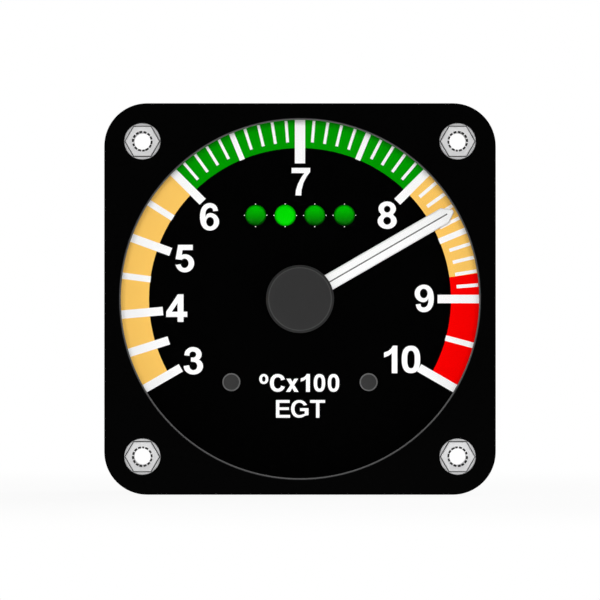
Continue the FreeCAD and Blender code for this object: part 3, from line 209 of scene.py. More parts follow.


# Mounting inserts
# Four threaded inserts of zinc-plated steel are pressed into the flange from the front. Each
# has a hexagon on a round collar, with a groove where the cutter ran out, and an M3 thread
# right through. The groove is painted darker grey as painted shade, and the thread's first turn
# carries a broken dark ring of painted shade.

INSERT_CENTRE = 23.57
INSERT_FRONT = 0.1
HEXAGON_HALF_ACROSS = 2.2
HEXAGON_BACK = 0.9
COLLAR_RADIUS = 2.72
COLLAR_BACK = 1.6
SLEEVE_RADIUS = 2.0
FLANGE_BACK = 5.5
THREAD_PITCH = 0.5
THREAD_MINOR = 1.25
THREAD_MAJOR = 1.45
CHAMFER_RADIUS = 1.54
BACK_CHAMFER = 0.2
EDGE = 0.1
GROOVE_WIDTH = 0.13
GROOVE_BACK = 1.15
INSERT_STEPS = 96
STEPS_PER_DASH = 7
DARK_STEPS = 5
FIRST_TURN = 0.3
WELD = 0.0005
SLIVER = 0.0001


def lathe(profile, x=0.0, z=0.0, steps=64):
    """Closed profile of radius and depth turned about Y; a radius may vary with the turn."""
    vertices = []
    faces = []
    count = len(profile)
    for step in range(steps):
        turn = 2 * math.pi * step / steps
        for radius, depth in profile:
            reach = radius(turn) if callable(radius) else radius
            vertices.append((x + reach * math.sin(turn), depth, z + reach * math.cos(turn)))
        for point in range(count):
            following = (point + 1) % count
            near, distant = step * count, (step + 1) % steps * count
            faces.append((near + point, near + following, distant + following, distant + point))
    return vertices, faces


def hexagon(half_across, more=0.0):
    """Radius of a hexagon with flats at the top and bottom, and of one drawn round it."""
    def radius(turn):
        from_flat = (turn + math.pi / 6) % (math.pi / 3) - math.pi / 6
        return half_across / math.cos(from_flat) + more

    return radius


def threads(start, end, minor, major, pitch):
    """Zigzag profile of a tapped bore between two depths."""
    count = int((end - start) / pitch)
    points = []
    for number in range(count):
        points += [(minor, start + number * pitch), (major, start + (number + 0.5) * pitch)]
    return points + [(minor, end)]


def joined(*shapes):
    """Several shapes as one list of vertices and one of faces."""
    vertices = []
    faces = []
    for some_vertices, some_faces in shapes:
        start = len(vertices)
        vertices += some_vertices
        faces += [tuple(corner + start for corner in face) for face in some_faces]
    return vertices, faces


def piece(name, shape, material, body, smooth_below=35.0):
    """Mesh piece from vertices in millimetres and faces, riding on a body."""
    mesh = bpy.data.meshes.new(name)
    vertices, faces = shape
    mesh.from_pydata([[value * MM for value in vertex] for vertex in vertices], [], faces)
    work = bmesh.new()
    work.from_mesh(mesh)
    bmesh.ops.remove_doubles(work, verts=work.verts, dist=WELD * MM)
    bmesh.ops.dissolve_degenerate(work, edges=work.edges, dist=SLIVER * MM)
    bmesh.ops.recalc_face_normals(work, faces=work.faces)
    work.to_mesh(mesh)
    work.free()
    mesh.shade_smooth()
    mesh.set_sharp_from_angle(angle=math.radians(smooth_below))
    mesh.materials.append(material)
    one = bpy.data.objects.new(name, mesh)
    scene.collection.objects.link(one)
    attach(one, body)
    return one


# Zinc-plated steel: pale grey, a little milky, with soft reflections.
zinc_steel = finish("zinc_plated_steel", "e6e6e6", "d6d6d8", 0.15, 0.006, 0.5, Metallic=0.4)
# The same in darker grey, painted shade in the groove here and in the cross recesses of the screws.
painted_shade_steel = finish("steel_with_painted_shade", "626262", "4c4c4c", 0.15, 0.006, 0.6, Metallic=0.3)
# And near black, painted shade in broken dashes round the first turn of the thread.
painted_thread_shadow = finish("thread_with_painted_shadow", "1c1c1c", "0c0c0c", 0.15, 0.006, 0.7, Metallic=0.2)

insert_profile = [
    (CHAMFER_RADIUS, INSERT_FRONT),
    *threads(FIRST_TURN, FLANGE_BACK - BACK_CHAMFER, THREAD_MINOR, THREAD_MAJOR, THREAD_PITCH),
    (THREAD_MAJOR, FLANGE_BACK),
    (SLEEVE_RADIUS, FLANGE_BACK),
    (SLEEVE_RADIUS, COLLAR_BACK),
    (COLLAR_RADIUS, COLLAR_BACK),
    (COLLAR_RADIUS, HEXAGON_BACK + EDGE),
    (COLLAR_RADIUS - EDGE / 2, HEXAGON_BACK),
    (hexagon(HEXAGON_HALF_ACROSS, GROOVE_WIDTH), HEXAGON_BACK),
    (hexagon(HEXAGON_HALF_ACROSS, GROOVE_WIDTH / 2), GROOVE_BACK),
    (hexagon(HEXAGON_HALF_ACROSS), HEXAGON_BACK),
    (hexagon(HEXAGON_HALF_ACROSS), INSERT_FRONT + EDGE),
    (hexagon(HEXAGON_HALF_ACROSS, -EDGE), INSERT_FRONT),
]
corners = [(x, z) for x in (-INSERT_CENTRE, INSERT_CENTRE) for z in (-INSERT_CENTRE, INSERT_CENTRE)]
inserts = piece(
    "threaded_inserts",
    joined(*[lathe(insert_profile, x, z, steps=INSERT_STEPS) for x, z in corners]),
    zinc_steel, "instrument",
)
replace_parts(inserts, "mounting_inserts")
inserts.data.materials.append(painted_shade_steel)
inserts.data.materials.append(painted_thread_shadow)
# Painted shade: the groove faces get darker grey, and dashes round the thread's first turn near
# black.
for polygon in inserts.data.polygons:
    x, depth, z = polygon.center / MM
    x, z = abs(x) - INSERT_CENTRE, abs(z) - INSERT_CENTRE
    radius = math.hypot(x, z)
    step = round(math.atan2(x, z) / (2 * math.pi) * INSERT_STEPS)
    in_dash = step % STEPS_PER_DASH < DARK_STEPS
    in_thread = depth < FIRST_TURN and radius < THREAD_MAJOR
    in_groove = (HEXAGON_BACK < depth < GROOVE_BACK
                 and SLEEVE_RADIUS < radius < COLLAR_RADIUS - EDGE / 2)
    polygon.material_index = 2 if in_thread and in_dash else int(in_groove)


# Gasket and glass
# The window is a disc of 2 mm float glass with a blooming against glare. A flat rubber
# gasket seals it against the flange's lip.

# Black nitrile rubber: dull, with a fine moulded skin.
rubber = finish("black_nitrile_rubber", "0a0a0a", "141414", 0.2, 0.01, 0.7, Specular_IOR_Level=0.3)
dress(rubber, "lens_gasket", "cover_seal")

GLASS_WAVE = 25.0
GLASS_WAVE_HEIGHT = 0.0005

# Bloomed float glass: clear and smooth, with hardly a reflection, which the blooming takes away in
# the real one and a low index does here. Lamp light passes straight through.
glass = bpy.data.materials.new("bloomed_float_glass")
tree = empty_tree(glass)
place = add(tree, "ShaderNodeTexCoord").outputs["Object"]
waviness = add(tree, "ShaderNodeTexNoise", {
    "Vector": place, "Scale": 1 / (GLASS_WAVE * MM), "Detail": 1.0,
})
ripple = add(tree, "ShaderNodeBump", {
    "Height": waviness.outputs["Fac"], "Distance": GLASS_WAVE_HEIGHT * MM,
})
pane = add(tree, "ShaderNodeBsdfPrincipled", {
    "Base Color": colour("ffffff"), "Roughness": 0.0, "IOR": 1.2, "Transmission Weight": 1.0,
    "Normal": ripple.outputs[0],
})
clear = add(tree, "ShaderNodeBsdfTransparent", {"Color": colour("ffffff")})
lamp_ray = add(tree, "ShaderNodeLightPath").outputs["Is Shadow Ray"]
both = add(tree, "ShaderNodeMixShader", {"Fac": lamp_ray, 1: pane.outputs[0], 2: clear.outputs[0]})
add(tree, "ShaderNodeOutputMaterial", {"Surface": both.outputs[0]})
dress(glass, "glass_lens")


# Dial plate
# The dial is a disc of aluminium sheet, punched for the bush, the lamps and its two screws. It is
# sprayed dead black, so that nothing but the printing shows.

# Dead black dial paint: no gloss, with a trace of spray grain.
dial_paint = finish("dead_black_dial_paint", "010101", "020202", 0.1, 0.003, 0.8,
                    Specular_IOR_Level=0.02)
dress(dial_paint, "dial_plate")


# Coloured bands
# Four arcs of enamel are screen printed on the dial: amber for cool and for hot, green for
# normal, red for too hot. The ink is two hundredths of a millimetre thick.

DIAL_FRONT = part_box("dial_plate")[0].y / MM
BAND_INNER = 22.69
BAND_OUTER = 27.05
INK = 0.02
BANDS = (("amber_low", -120.0, -45.4, "amber"), ("green_normal", -45.4, 45.0, "green"),
         ("amber_high", 45.0, 81.7, "amber"), ("red_limit", 81.7, 120.0, "red"))
INKS = (("amber", "ffcc66", "fec862"), ("green", "009900", "009600"),
        ("red", "ff0000", "f80000"), ("white", "ffffff", "fafafa"))


def slab(outline, front, back):
    """Flat outline of x and z, as a piece between two depths."""
    count = len(outline)
    vertices = [(x, depth, z) for depth in (front, back) for x, z in outline]
    faces = [tuple(range(count)), tuple(reversed(range(count, 2 * count)))]
    for point in range(count):
        following = (point + 1) % count
        faces.append((point, following, count + following, count + point))
    return vertices, faces


def on_dial(radius, degrees):
    """Place on the dial, clockwise from the top."""
    turn = math.radians(degrees)
    return radius * math.sin(turn), radius * math.cos(turn)


def arc(inner, outer, start, end, front, back, step=1.5):
    """Arc of a ring in short cells, so that it stays flat and even."""
    count = max(1, round((end - start) / step))
    angles = [start + (end - start) * number / count for number in range(count + 1)]
    rim = [on_dial(outer, angle) for angle in angles]
    hollow = [on_dial(inner, angle) for angle in angles]
    vertices = [(x, depth, z) for depth in (front, back) for side in (rim, hollow) for x, z in side]
    total = count + 1
    outer_front, inner_front, outer_back, inner_back = (total * number for number in range(4))
    faces = [
        (outer_front, inner_front, inner_back, outer_back),
        (outer_front + count, outer_back + count, inner_back + count, inner_front + count),
    ]
    for number in range(count):
        for one, two in ((outer_front, inner_front), (inner_front, inner_back),
                         (inner_back, outer_back), (outer_back, outer_front)):
            faces.append((one + number, one + number + 1, two + number + 1, two + number))
    return vertices, faces


# Screen-printed enamel: flat, opaque colour with a slight mottle.
inks = {
    ink: finish(ink + "_screen_ink", tone, other, 0.3, 0.001, 0.75, Specular_IOR_Level=0.05)
    for ink, tone, other in INKS
}
for name, start, end, ink in BANDS:
    shape = arc(BAND_INNER, BAND_OUTER, start, end, DIAL_FRONT - INK, DIAL_FRONT)
    piece("band_" + name, shape, inks[ink], "instrument")


# Scale
# White ticks are printed over the bands. Between 6 and 9 each tenth has a tick, and the
# scale is wider there, 45 degrees a figure against 25 below and 30 above.

TICK_OUTER = 26.97
MAJOR_INNER = 20.67
HALF_INNER = 22.63
MINOR_INNER = 23.6
MINOR_OUTER = 26.85
TICK_FRONT = DIAL_FRONT - 2 * INK
MAJOR_FIGURES = (3, 3.5, 4, 5, 6, 8, 9, 10)
MAJOR_WIDTH = 1.27
SEVEN_INNER = 20.38
SEVEN_OUTER = 26.9
SEVEN_WIDTH = 1.55
HALF_WIDTHS = ((4.5, 0.94), (5.5, 0.94), (6.5, 0.81), (7.5, 0.81), (8.5, 0.9), (9.5, 0.84))
TENTH_WIDTH = 0.43
TENTH_WIDTH_OVER_8 = 0.52


def scale_angle(figure):
    """Pointer angle of a reading, clockwise from the top."""
    if figure <= 6:
        return -120 + 25 * (figure - 3)
    if figure <= 9:
        return -45 + 45 * (figure - 6)
    return 90 + 30 * (figure - 9)


def tick(figure, inner, outer, width):
    """Radial bar at a reading."""
    turn = math.radians(scale_angle(figure))
    along = (math.sin(turn), math.cos(turn))
    across = (math.cos(turn) * width / 2, -math.sin(turn) * width / 2)
    outline = [
        (along[0] * radius + side * across[0], along[1] * radius + side * across[1])
        for radius, side in ((inner, -1), (outer, -1), (outer, 1), (inner, 1))
    ]
    return slab(outline, TICK_FRONT, DIAL_FRONT)


majors = [tick(figure, MAJOR_INNER, TICK_OUTER, MAJOR_WIDTH) for figure in MAJOR_FIGURES]
majors.append(tick(7, SEVEN_INNER, SEVEN_OUTER, SEVEN_WIDTH))
halves = [tick(figure, HALF_INNER, TICK_OUTER, width) for figure, width in HALF_WIDTHS]
minors = [
    tick(tenth / 10, MINOR_INNER, MINOR_OUTER, TENTH_WIDTH if tenth <= 80 else TENTH_WIDTH_OVER_8)
    for tenth in range(61, 90) if tenth % 5
]
for name, ticks in (("major", majors), ("half", halves), ("tenth", minors)):
    piece("ticks_" + name, joined(*ticks), inks["white"], "instrument")


# Figures and words
# The figures, the unit and the quantity are printed in the same white, in a bold plain face.
# Each sign is drawn on a field a hundred units high.

FIGURE_HEIGHT = 4.14
CORNERS_PER_TURN = 48
FIGURES = (("3", -16.02, -9.28, 2.9), ("4", -18.52, -1.37, 3.17), ("5", -17.34, 6.07, 2.88),
           ("6", -13.59, 12.35, 2.88), ("7", 0.13, 17.63, 2.78), ("8", 13.1, 12.59, 2.86),
           ("9", 18.67, 0.09, 2.88))


def oval(x, z, half_width, half_height, start, end, squareness=2.0):
    """Points on an oval from one angle to another; over two, squareness fills its corners."""
    count = max(2, round(abs(end - start) / 360 * CORNERS_PER_TURN))
    points = []
    for number in range(count + 1):
        turn = math.radians(start + (end - start) * number / count)
        across, rise = math.cos(turn), math.sin(turn)
        points.append((
            x + half_width * math.copysign(abs(across) ** (2 / squareness), across),
            z + half_height * math.copysign(abs(rise) ** (2 / squareness), rise),
        ))
    return points


six_outline = [
    (66, 72), *oval(37, 73, 28, 27, 20, 95), *oval(38, 50, 38, 50, 100, 265, 2.3),
    *oval(36, 32, 34, 32, -90, 95), *oval(38, 46, 18, 18, 95, 170),
    *oval(38, 58, 18, 25, 170, 85, 2.2), *oval(38, 73, 10, 10, 60, 5), (48, 70),
]
six_hole = oval(37, 32, 14, 17, 0, 345)


def turned_over(points):
    return [(72 - x, 100 - z) for x, z in points]


SIGNS = {
    "0": [oval(35, 50, 35, 50, 0, 352, 2.4), oval(35, 50, 14, 32, 0, 345, 2.6)],
    "1": [[
        (50, 0), (50, 100), (33, 100), (27, 90), (16, 81), (0, 75), (0, 57), (16, 63), (29, 72),
        (29, 0),
    ]],
    "3": [[
        (2, 70), *oval(34, 73, 31, 27, 165, -52), (51, 53), *oval(35, 30, 35, 30, 48, -170),
        (0, 31), (20, 34), *oval(35, 31, 14, 15, 190, 445), (26, 47), (26, 62),
        *oval(33, 72.5, 12, 11, -80, 175), (21, 68),
    ]],
    "4": [
        [(42, 0), (64, 0), (64, 18), (78, 18), (78, 37), (64, 37), (64, 100), (43, 100), (0, 37),
         (0, 18), (42, 18)],
        [(21, 37), (42, 37), (42, 68)],
    ],
    "5": [[
        (12, 100), (64, 100), (64, 81), (28, 81), (25, 63), *oval(36, 33, 33, 33, 100, -172),
        (1, 27), (21, 30), *oval(35, 33, 14, 17, 195, 495), (20, 46), (3, 48),
    ]],
    "6": [six_outline, six_hole],
    "7": [[
        (0, 100), (67, 100), (67, 85), (54, 68), (43, 46), (36, 20), (35, 0), (14, 0), (16, 20),
        (23, 42), (34, 64), (46, 81), (0, 81),
    ]],
    "8": [
        [*oval(35, 73.5, 32, 26.5, -45, 225), *oval(35, 28.5, 35, 28.5, 130, 410)],
        oval(35, 72, 12, 12, 0, 345), oval(35, 30, 14, 14, 0, 345),
    ],
    "9": [turned_over(six_outline), turned_over(six_hole)],
    "C": [[
        *oval(40, 50, 40, 50, 38, 322, 2.2), (77, 28), (57, 35),
        *oval(40, 50, 20, 32, -42, -318, 2.2), (57, 64), (77, 70),
    ]],
    "E": [[
        (0, 0), (0, 100), (72, 100), (72, 84), (18, 84), (18, 59), (68, 59), (68, 44), (18, 44),
        (18, 16), (74, 16), (74, 0),
    ]],
    "G": [[
        *oval(42, 50, 42, 50, 38, 310, 2.2), (90, 15), (90, 54), (46, 54), (46, 38), (70, 38),
        (70, 22), *oval(43, 50, 25, 35, -65, -318, 2.2), (65, 68), (82, 73),
    ]],
    "T": [[(31, 0), (49, 0), (49, 84), (79, 84), (79, 100), (0, 100), (0, 84), (31, 84)]],
    "x": [[
        (0, 0), (25, 38), (2, 74), (27, 74), (37, 56), (49, 74), (71, 74), (48, 38), (73, 0),
        (48, 0), (36, 21), (24, 0),
    ]],
    "degree": [oval(26, 72, 26, 28, 0, 345, 2.2), oval(26, 72, 10, 15, 0, 340, 2.2)],
}


def printed(name, signs, left, bottom, height):
    """White signs on the dial, each given as its key, its start and its width in millimetres."""
    lettering = bpy.data.curves.new(name + "_outline", "CURVE")
    lettering.dimensions = "2D"
    lettering.fill_mode = "BOTH"
    lettering.extrude = INK
    for key, start, width in signs:
        loops = SIGNS[key]
        first = min(x for x, z in loops[0])
        scale = width / (max(x for x, z in loops[0]) - first)
        for loop in loops:
            run = lettering.splines.new("POLY")
            run.points.add(len(loop) - 1)
            for point, (x, z) in zip(run.points, loop):
                point.co = (left + start + (x - first) * scale, bottom + z * height / 100, 0.0, 1.0)
            run.use_cyclic_u = True
    helper = bpy.data.objects.new(name + "_outline", lettering)
    scene.collection.objects.link(helper)
    evaluated = helper.evaluated_get(bpy.context.evaluated_depsgraph_get())
    mesh = bpy.data.meshes.new_from_object(evaluated)
    bpy.data.objects.remove(helper)
    vertices = [
        (vertex.co.x, TICK_FRONT if vertex.co.z > 0 else DIAL_FRONT, vertex.co.y)
        for vertex in mesh.vertices
    ]
    faces = [tuple(polygon.vertices) for polygon in mesh.polygons]
    return piece(name, (vertices, faces), inks["white"], "instrument")


for key, x, z, width in FIGURES:
    printed("figure_" + key, [(key, 0.0, width)],
            left=x - width / 2, bottom=z - FIGURE_HEIGHT / 2, height=FIGURE_HEIGHT)
printed("figure_10", [("1", 0.0, 2.0), ("0", 2.65, 2.79)],
        left=12.63, bottom=-9.08 - FIGURE_HEIGHT / 2, height=FIGURE_HEIGHT)
printed("word_unit", [
    ("degree", 0.0, 1.36), ("C", 1.6, 2.26), ("x", 4.01, 1.9), ("1", 6.22, 1.39), ("0", 8.19, 1.72),
    ("0", 10.3, 1.72),
], left=-6.12, bottom=-13.95, height=2.68)
printed("word_quantity", [("E", 0.0, 2.12), ("G", 2.27, 2.63), ("T", 5.13, 2.26)],
        left=-3.61, bottom=-17.84, height=2.66)


# Dial screws and posts
# Two blackened steel screws hold the dial on turned brass posts that are riveted to the
# display board behind it.

# Blackened steel: dark grey, with fine turning marks; the bevel and sides are painted paler as a
# painted highlight.
blackened = finish("blackened_steel_painted_highlight", "363636", "303030", 0.12, 0.003, 0.5, Specular_IOR_Level=0.25)
overlay(blackened, off_front, "6c6c6c")
dress(blackened, "dial_screws")

# Turned brass: warm yellow metal, half bright.
brass = finish("turned_brass", "c9a24b", "b58e3c", 0.2, 0.004, 0.3, Metallic=1.0)
dress(brass, "dial_posts", "front_pillars", "rear_pillars")


# Channel lamps
# Four light diodes of 3 mm tinted green epoxy look out through the dial, each between four
# printed dots. The second is lit, so its channel is the one shown.

LAMP_PITCH = 4.45
LAMP_HEIGHT = 12.57
LAMP_RADIUS = 1.5
LAMP_RIM = 1.88
RIM_DEPTH = 1.0
DOME = 0.55
DOME_STEPS = 8
LAMP_STEPS = 48
LIT_LAMP = 2
EPOXY_SPECK = 0.3
EPOXY_RELIEF = 0.001
LEAD_SPREAD = 1.27
LEAD_HALF = 0.25
MARK_RADIUS = 0.08
MARK_PLACE = 1.69
lamp_low, lamp_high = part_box("channel_led_1")
LAMP_FRONT = lamp_low.y / MM
LEAD_BACK = lamp_high.y / MM
BOARD_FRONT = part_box("display_board")[0].y / MM


def epoxy(name, top, bottom, glow):
    """Tinted epoxy, painted lighter towards its top as painted light and darker towards its foot as
    painted shade.
    """
    material = bpy.data.materials.new(name)
    tree = empty_tree(material)
    place = add(tree, "ShaderNodeTexCoord").outputs["Object"]
    height = add(tree, "ShaderNodeSeparateXYZ", {0: place}).outputs["Z"]
    share = add(tree, "ShaderNodeMapRange", {
        "Value": height,
        "From Min": (LAMP_HEIGHT - LAMP_RADIUS) * MM, "From Max": (LAMP_HEIGHT + LAMP_RADIUS) * MM,
    }).outputs[0]
    mixed = {0: share, COLOUR_A: colour(bottom), COLOUR_B: colour(top)}
    tint = add(tree, "ShaderNodeMix", mixed, data_type="RGBA").outputs[COLOUR_OUT]
    specks = add(tree, "ShaderNodeTexNoise", {"Vector": place, "Scale": 1 / (EPOXY_SPECK * MM)})
    bump = add(tree, "ShaderNodeBump", {
        "Height": specks.outputs["Fac"], "Distance": EPOXY_RELIEF * MM,
    })
    surface = add(tree, "ShaderNodeBsdfPrincipled", {
        "Base Color": tint, "Roughness": 0.35, "IOR": 1.5, "Specular IOR Level": 0.06,
        "Emission Color": tint, "Emission Strength": glow, "Normal": bump.outputs[0],
    })
    add(tree, "ShaderNodeOutputMaterial", {"Surface": surface.outputs[0]})
    return material


# Green tinted epoxy, dark and lit, each with painted light at its top and painted shade at its
# foot.
dark_epoxy = epoxy("green_epoxy_lens", "00c600", "004400", 0.0)
lit_epoxy = epoxy("green_epoxy_lens_lit", "00c400", "00c000", 0.3)


def lamp(name, x, material):
    """Lamp with its domed lens, the rim at its foot and two square leads."""
    dome = [
        (LAMP_RADIUS * math.sin(math.pi / 2 * number / DOME_STEPS),
         LAMP_FRONT + DOME * (1 - math.cos(math.pi / 2 * number / DOME_STEPS)))
        for number in range(DOME_STEPS + 1)
    ]
    foot = [
        (LAMP_RADIUS, BOARD_FRONT - RIM_DEPTH), (LAMP_RIM, BOARD_FRONT - RIM_DEPTH),
        (LAMP_RIM, BOARD_FRONT), (0.0, BOARD_FRONT),
    ]
    leads = []
    for middle in (x - LEAD_SPREAD, x + LEAD_SPREAD):
        outline = [
            (middle + across * LEAD_HALF, LAMP_HEIGHT + up * LEAD_HALF)
            for across, up in ((-1, -1), (1, -1), (1, 1), (-1, 1))
        ]
        leads.append(slab(outline, BOARD_FRONT, LEAD_BACK))
    lens = lathe(dome + foot, x, LAMP_HEIGHT, steps=LAMP_STEPS)
    return piece(name, joined(lens, *leads), material, "instrument")


lamp_places = [(number - 1.5) * LAMP_PITCH for number in range(4)]
for number, middle in enumerate(lamp_places, start=1):
    tinted, slot = (lit_epoxy, "lamp_lit") if number == LIT_LAMP else (dark_epoxy, "lamp_green")
    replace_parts(lamp(f"lamp_{number}", middle, tinted), f"channel_led_{number}")
marks = [
    slab([
        (middle + MARK_PLACE * across + x, LAMP_HEIGHT + MARK_PLACE * up + z)
        for x, z in oval(0, 0, MARK_RADIUS, MARK_RADIUS, 0, 330)
    ], TICK_FRONT, DIAL_FRONT)
    for middle in lamp_places for across, up in ((0, 1), (1, 0), (0, -1), (-1, 0))
]
piece("lamp_marks", joined(*marks), inks["white"], "instrument")


# Pointer
# The needle is pressed from thin aluminium with a ridge along it and painted white, and a
# fine grey line is scored down the ridge.

NEEDLE_ANGLE = 60.0
NEEDLE_HALF = 1.25
NEEDLE_RIDGE = 6.4
NEEDLE_SIDE = 6.7
NEEDLE_BACK = 7.2
BLADE_START = 2.0
NEEDLE_TIP = 26.5
NEEDLE_TAPER = 1.4
TIP_HALF = 0.22
EDGE_ROLL = 0.16
EYE_RADIUS = 3.2
NECK_RADIUS = 1.6
SCORE_HALF = 0.1
SCORE_DEPTH = 0.05
SCORE_START = 5.1
SCORE_END = 25.5


def along_needle(points):
    """Places of (along, across, depth) on the needle, turned to where it rests."""
    turn = math.radians(NEEDLE_ANGLE)
    sine, cosine = math.sin(turn), math.cos(turn)
    return [
        (along * sine + across * cosine, depth, along * cosine - across * sine)
        for along, across, depth in points
    ]


def needle_section(along, half):
    """Cross-section of the blade, from back to back over the ridge."""
    slope = (NEEDLE_SIDE - NEEDLE_RIDGE) / NEEDLE_HALF
    rolled = min(EDGE_ROLL, half / 2)
    right = [
        (half, NEEDLE_BACK),
        (half, NEEDLE_RIDGE + slope * half + rolled),
        (half - rolled, NEEDLE_RIDGE + slope * (half - rolled)),
        (SCORE_HALF, NEEDLE_RIDGE + slope * SCORE_HALF),
    ]
    left = [(-across, depth) for across, depth in reversed(right)]
    section = [*right, (0.0, NEEDLE_RIDGE + SCORE_DEPTH), *left]
    return [(along, across, depth) for across, depth in section]


rows = [needle_section(along, half) for along, half in (
    (BLADE_START, NEEDLE_HALF), (NEEDLE_TIP - NEEDLE_TAPER, NEEDLE_HALF), (NEEDLE_TIP, TIP_HALF),
)]
width = len(rows[0])
blade_faces = [tuple(range(width)), tuple(reversed(range(2 * width, 3 * width)))]
for row in range(2):
    for point in range(width):
        following = (point + 1) % width
        blade_faces.append((row * width + point, row * width + following,
                            (row + 1) * width + following, (row + 1) * width + point))
blade = (along_needle([point for row in rows for point in row]), blade_faces)
eye = lathe([(NECK_RADIUS, NEEDLE_SIDE), (EYE_RADIUS, NEEDLE_SIDE), (EYE_RADIUS, NEEDLE_BACK),
             (NECK_RADIUS, NEEDLE_BACK)])

# White enamel on aluminium: clean white, half matt.
white_enamel = finish("white_enamel", "fcfcfc", "f6f6f6", 0.2, 0.002, 0.6, Specular_IOR_Level=0.2)
needle = piece(
    "needle", joined(blade, eye), white_enamel, "pointer", smooth_below=10.0,
)
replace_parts(needle, "pointer_needle")

# Grey ink wiped into the score.
score_ink = finish("grey_score_ink", "707070", "646464", 0.1, 0.001, 0.7, Specular_IOR_Level=0.1)
score_outline = [(start, side * SCORE_HALF) for start, side in zip(
    (SCORE_START, SCORE_END, SCORE_END, SCORE_START), (-1, -1, 1, 1),
)]
vertices, faces = slab(score_outline, NEEDLE_RIDGE + INK, NEEDLE_RIDGE + 2 * INK)
score_points = [(along, across, depth) for along, depth, across in vertices]
piece("needle_score", (along_needle(score_points), faces), score_ink, "pointer")


# Pointer cap, bush and shaft
# A cap moulded in dark grey ABS snaps over the brass bush that carries the needle. The bush
# is pressed on the motor's steel output shaft.

CAP_PAINTED_HIGHLIGHT = (4.62, 4.76)

# Moulded ABS: dark grey, fine matt skin, with a paler ring painted on as a painted highlight on the
# rim.
cap_plastic = finish("dark_grey_abs", "313131", "2e2e2e", 0.12, 0.004, 0.55,
                     Specular_IOR_Level=0.12)
overlay(cap_plastic, lambda tree: band_by_radius(tree, *CAP_PAINTED_HIGHLIGHT), "464646")
dress(cap_plastic, "pointer_cap")
dress(brass, "pointer_bush")

# Ground steel: bright, slightly brushed.
bright_steel = finish("ground_steel", "c8cacc", "b4b6b8", 0.08, 0.002, 0.25, Metallic=1.0)
dress(bright_steel, "output_shaft", "intermediate_arbor")


# Gear train
# Two stages of six to one, moulded in white acetal, join the rotor to the output shaft. The
# rotor is a ferrite magnet on the first pinion's spindle.

# Acetal: milky white, waxy gloss.
acetal = finish("white_acetal", "ececea", "e2e2de", 0.3, 0.004, 0.35, Subsurface_Weight=0.1)
dress(acetal, "output_wheel", "intermediate_gear", "rotor_pinion", "coil_bobbin_left",
      "coil_bobbin_right")

# Sintered ferrite: dark grey, matt and slightly pitted.
ferrite = finish("sintered_ferrite", "2b2b2e", "1f1f22", 0.1, 0.01, 0.6, Metallic=0.2)
dress(ferrite, "rotor_magnet")


# Motor case, stator and coils
# The motor's two shells are moulded in glass-filled nylon. Between them lies a laminated
# iron stator whose limbs carry two coils of enamelled copper wire.

# Glass-filled nylon: mid grey, with a faint fibre texture.
nylon = finish("glass_filled_nylon", "4a4c4f", "3f4144", 0.25, 0.012, 0.55)
dress(nylon, "motor_front_shell", "motor_rear_shell")

# Silicon steel: blue grey, rolled and stamped.
stator_steel = finish("silicon_steel_sheet", "8d9299", "7b8087", 0.15, 0.004, 0.4, Metallic=0.9)
dress(stator_steel, "motor_stator")

# Enamelled copper wire: orange brown turns, seen as fine ribs.
WIRE = 0.15
WIRE_RELIEF = 0.05
RIBS_PER_SCALE = 6.28

copper = bpy.data.materials.new("enamelled_copper_wire")
tree = empty_tree(copper)
place = add(tree, "ShaderNodeTexCoord").outputs["Object"]
turns = add(tree, "ShaderNodeTexWave", {
    "Vector": place, "Scale": 1 / (WIRE * MM) / RIBS_PER_SCALE, "Distortion": 0.4,
}, bands_direction="Z")
bump = add(tree, "ShaderNodeBump", {
    "Height": turns.outputs["Fac"], "Distance": WIRE_RELIEF * MM,
})
mixed = {0: turns.outputs["Fac"], COLOUR_A: colour("6e3213"), COLOUR_B: colour("c46a2c")}
tones = add(tree, "ShaderNodeMix", mixed, data_type="RGBA")
surface = add(tree, "ShaderNodeBsdfPrincipled", {
    "Base Color": tones.outputs[COLOUR_OUT], "Metallic": 0.8, "Roughness": 0.3,
    "Normal": bump.outputs[0],
})
add(tree, "ShaderNodeOutputMaterial", {"Surface": surface.outputs[0]})
dress(copper, "coil_winding_left", "coil_winding_right")


# Boards and what is soldered to them
# Two round boards of glass epoxy with green solder mask. The display board carries the lamps
# and the motor, the main board the amplifiers and the connector.

TRACK = 0.6
TRACK_RELIEF = 0.03
TRACKS_PER_SCALE = 8

# Green solder mask over copper tracks: glossy, the tracks a shade lighter.
mask = bpy.data.materials.new("green_solder_mask")
tree = empty_tree(mask)
place = add(tree, "ShaderNodeTexCoord").outputs["Object"]
laid_flat = add(tree, "ShaderNodeMapping", {
    "Vector": place, "Rotation": (math.radians(90), 0.0, 0.0),
})
tracks = add(tree, "ShaderNodeTexBrick", {
    "Vector": laid_flat.outputs[0], "Scale": 1 / (TRACK * MM) / TRACKS_PER_SCALE,
    "Color1": colour("0f5a34"), "Color2": colour("0f5a34"),
    "Mortar": colour("2f7d4e"), "Mortar Size": 0.03,
})
bump = add(tree, "ShaderNodeBump", {
    "Height": tracks.outputs["Fac"], "Distance": TRACK_RELIEF * MM,
})
surface = add(tree, "ShaderNodeBsdfPrincipled", {
    "Base Color": tracks.outputs["Color"], "Roughness": 0.3, "Normal": bump.outputs[0],
})
add(tree, "ShaderNodeOutputMaterial", {"Surface": surface.outputs[0]})
dress(mask, "display_board", "main_board")

# Moulded epoxy: near black, dull.
chip = finish("black_moulded_epoxy", "18181a", "101012", 0.1, 0.006, 0.6)
dress(chip, "microcontroller", "thermocouple_amplifiers", "voltage_regulator", "header_strip",
      "header_socket")

# Sleeved aluminium: the capacitors' dark printed sleeve.
can = finish("capacitor_sleeve", "23262c", "1b1e24", 0.4, 0.004, 0.35)
dress(can, "filter_capacitors")

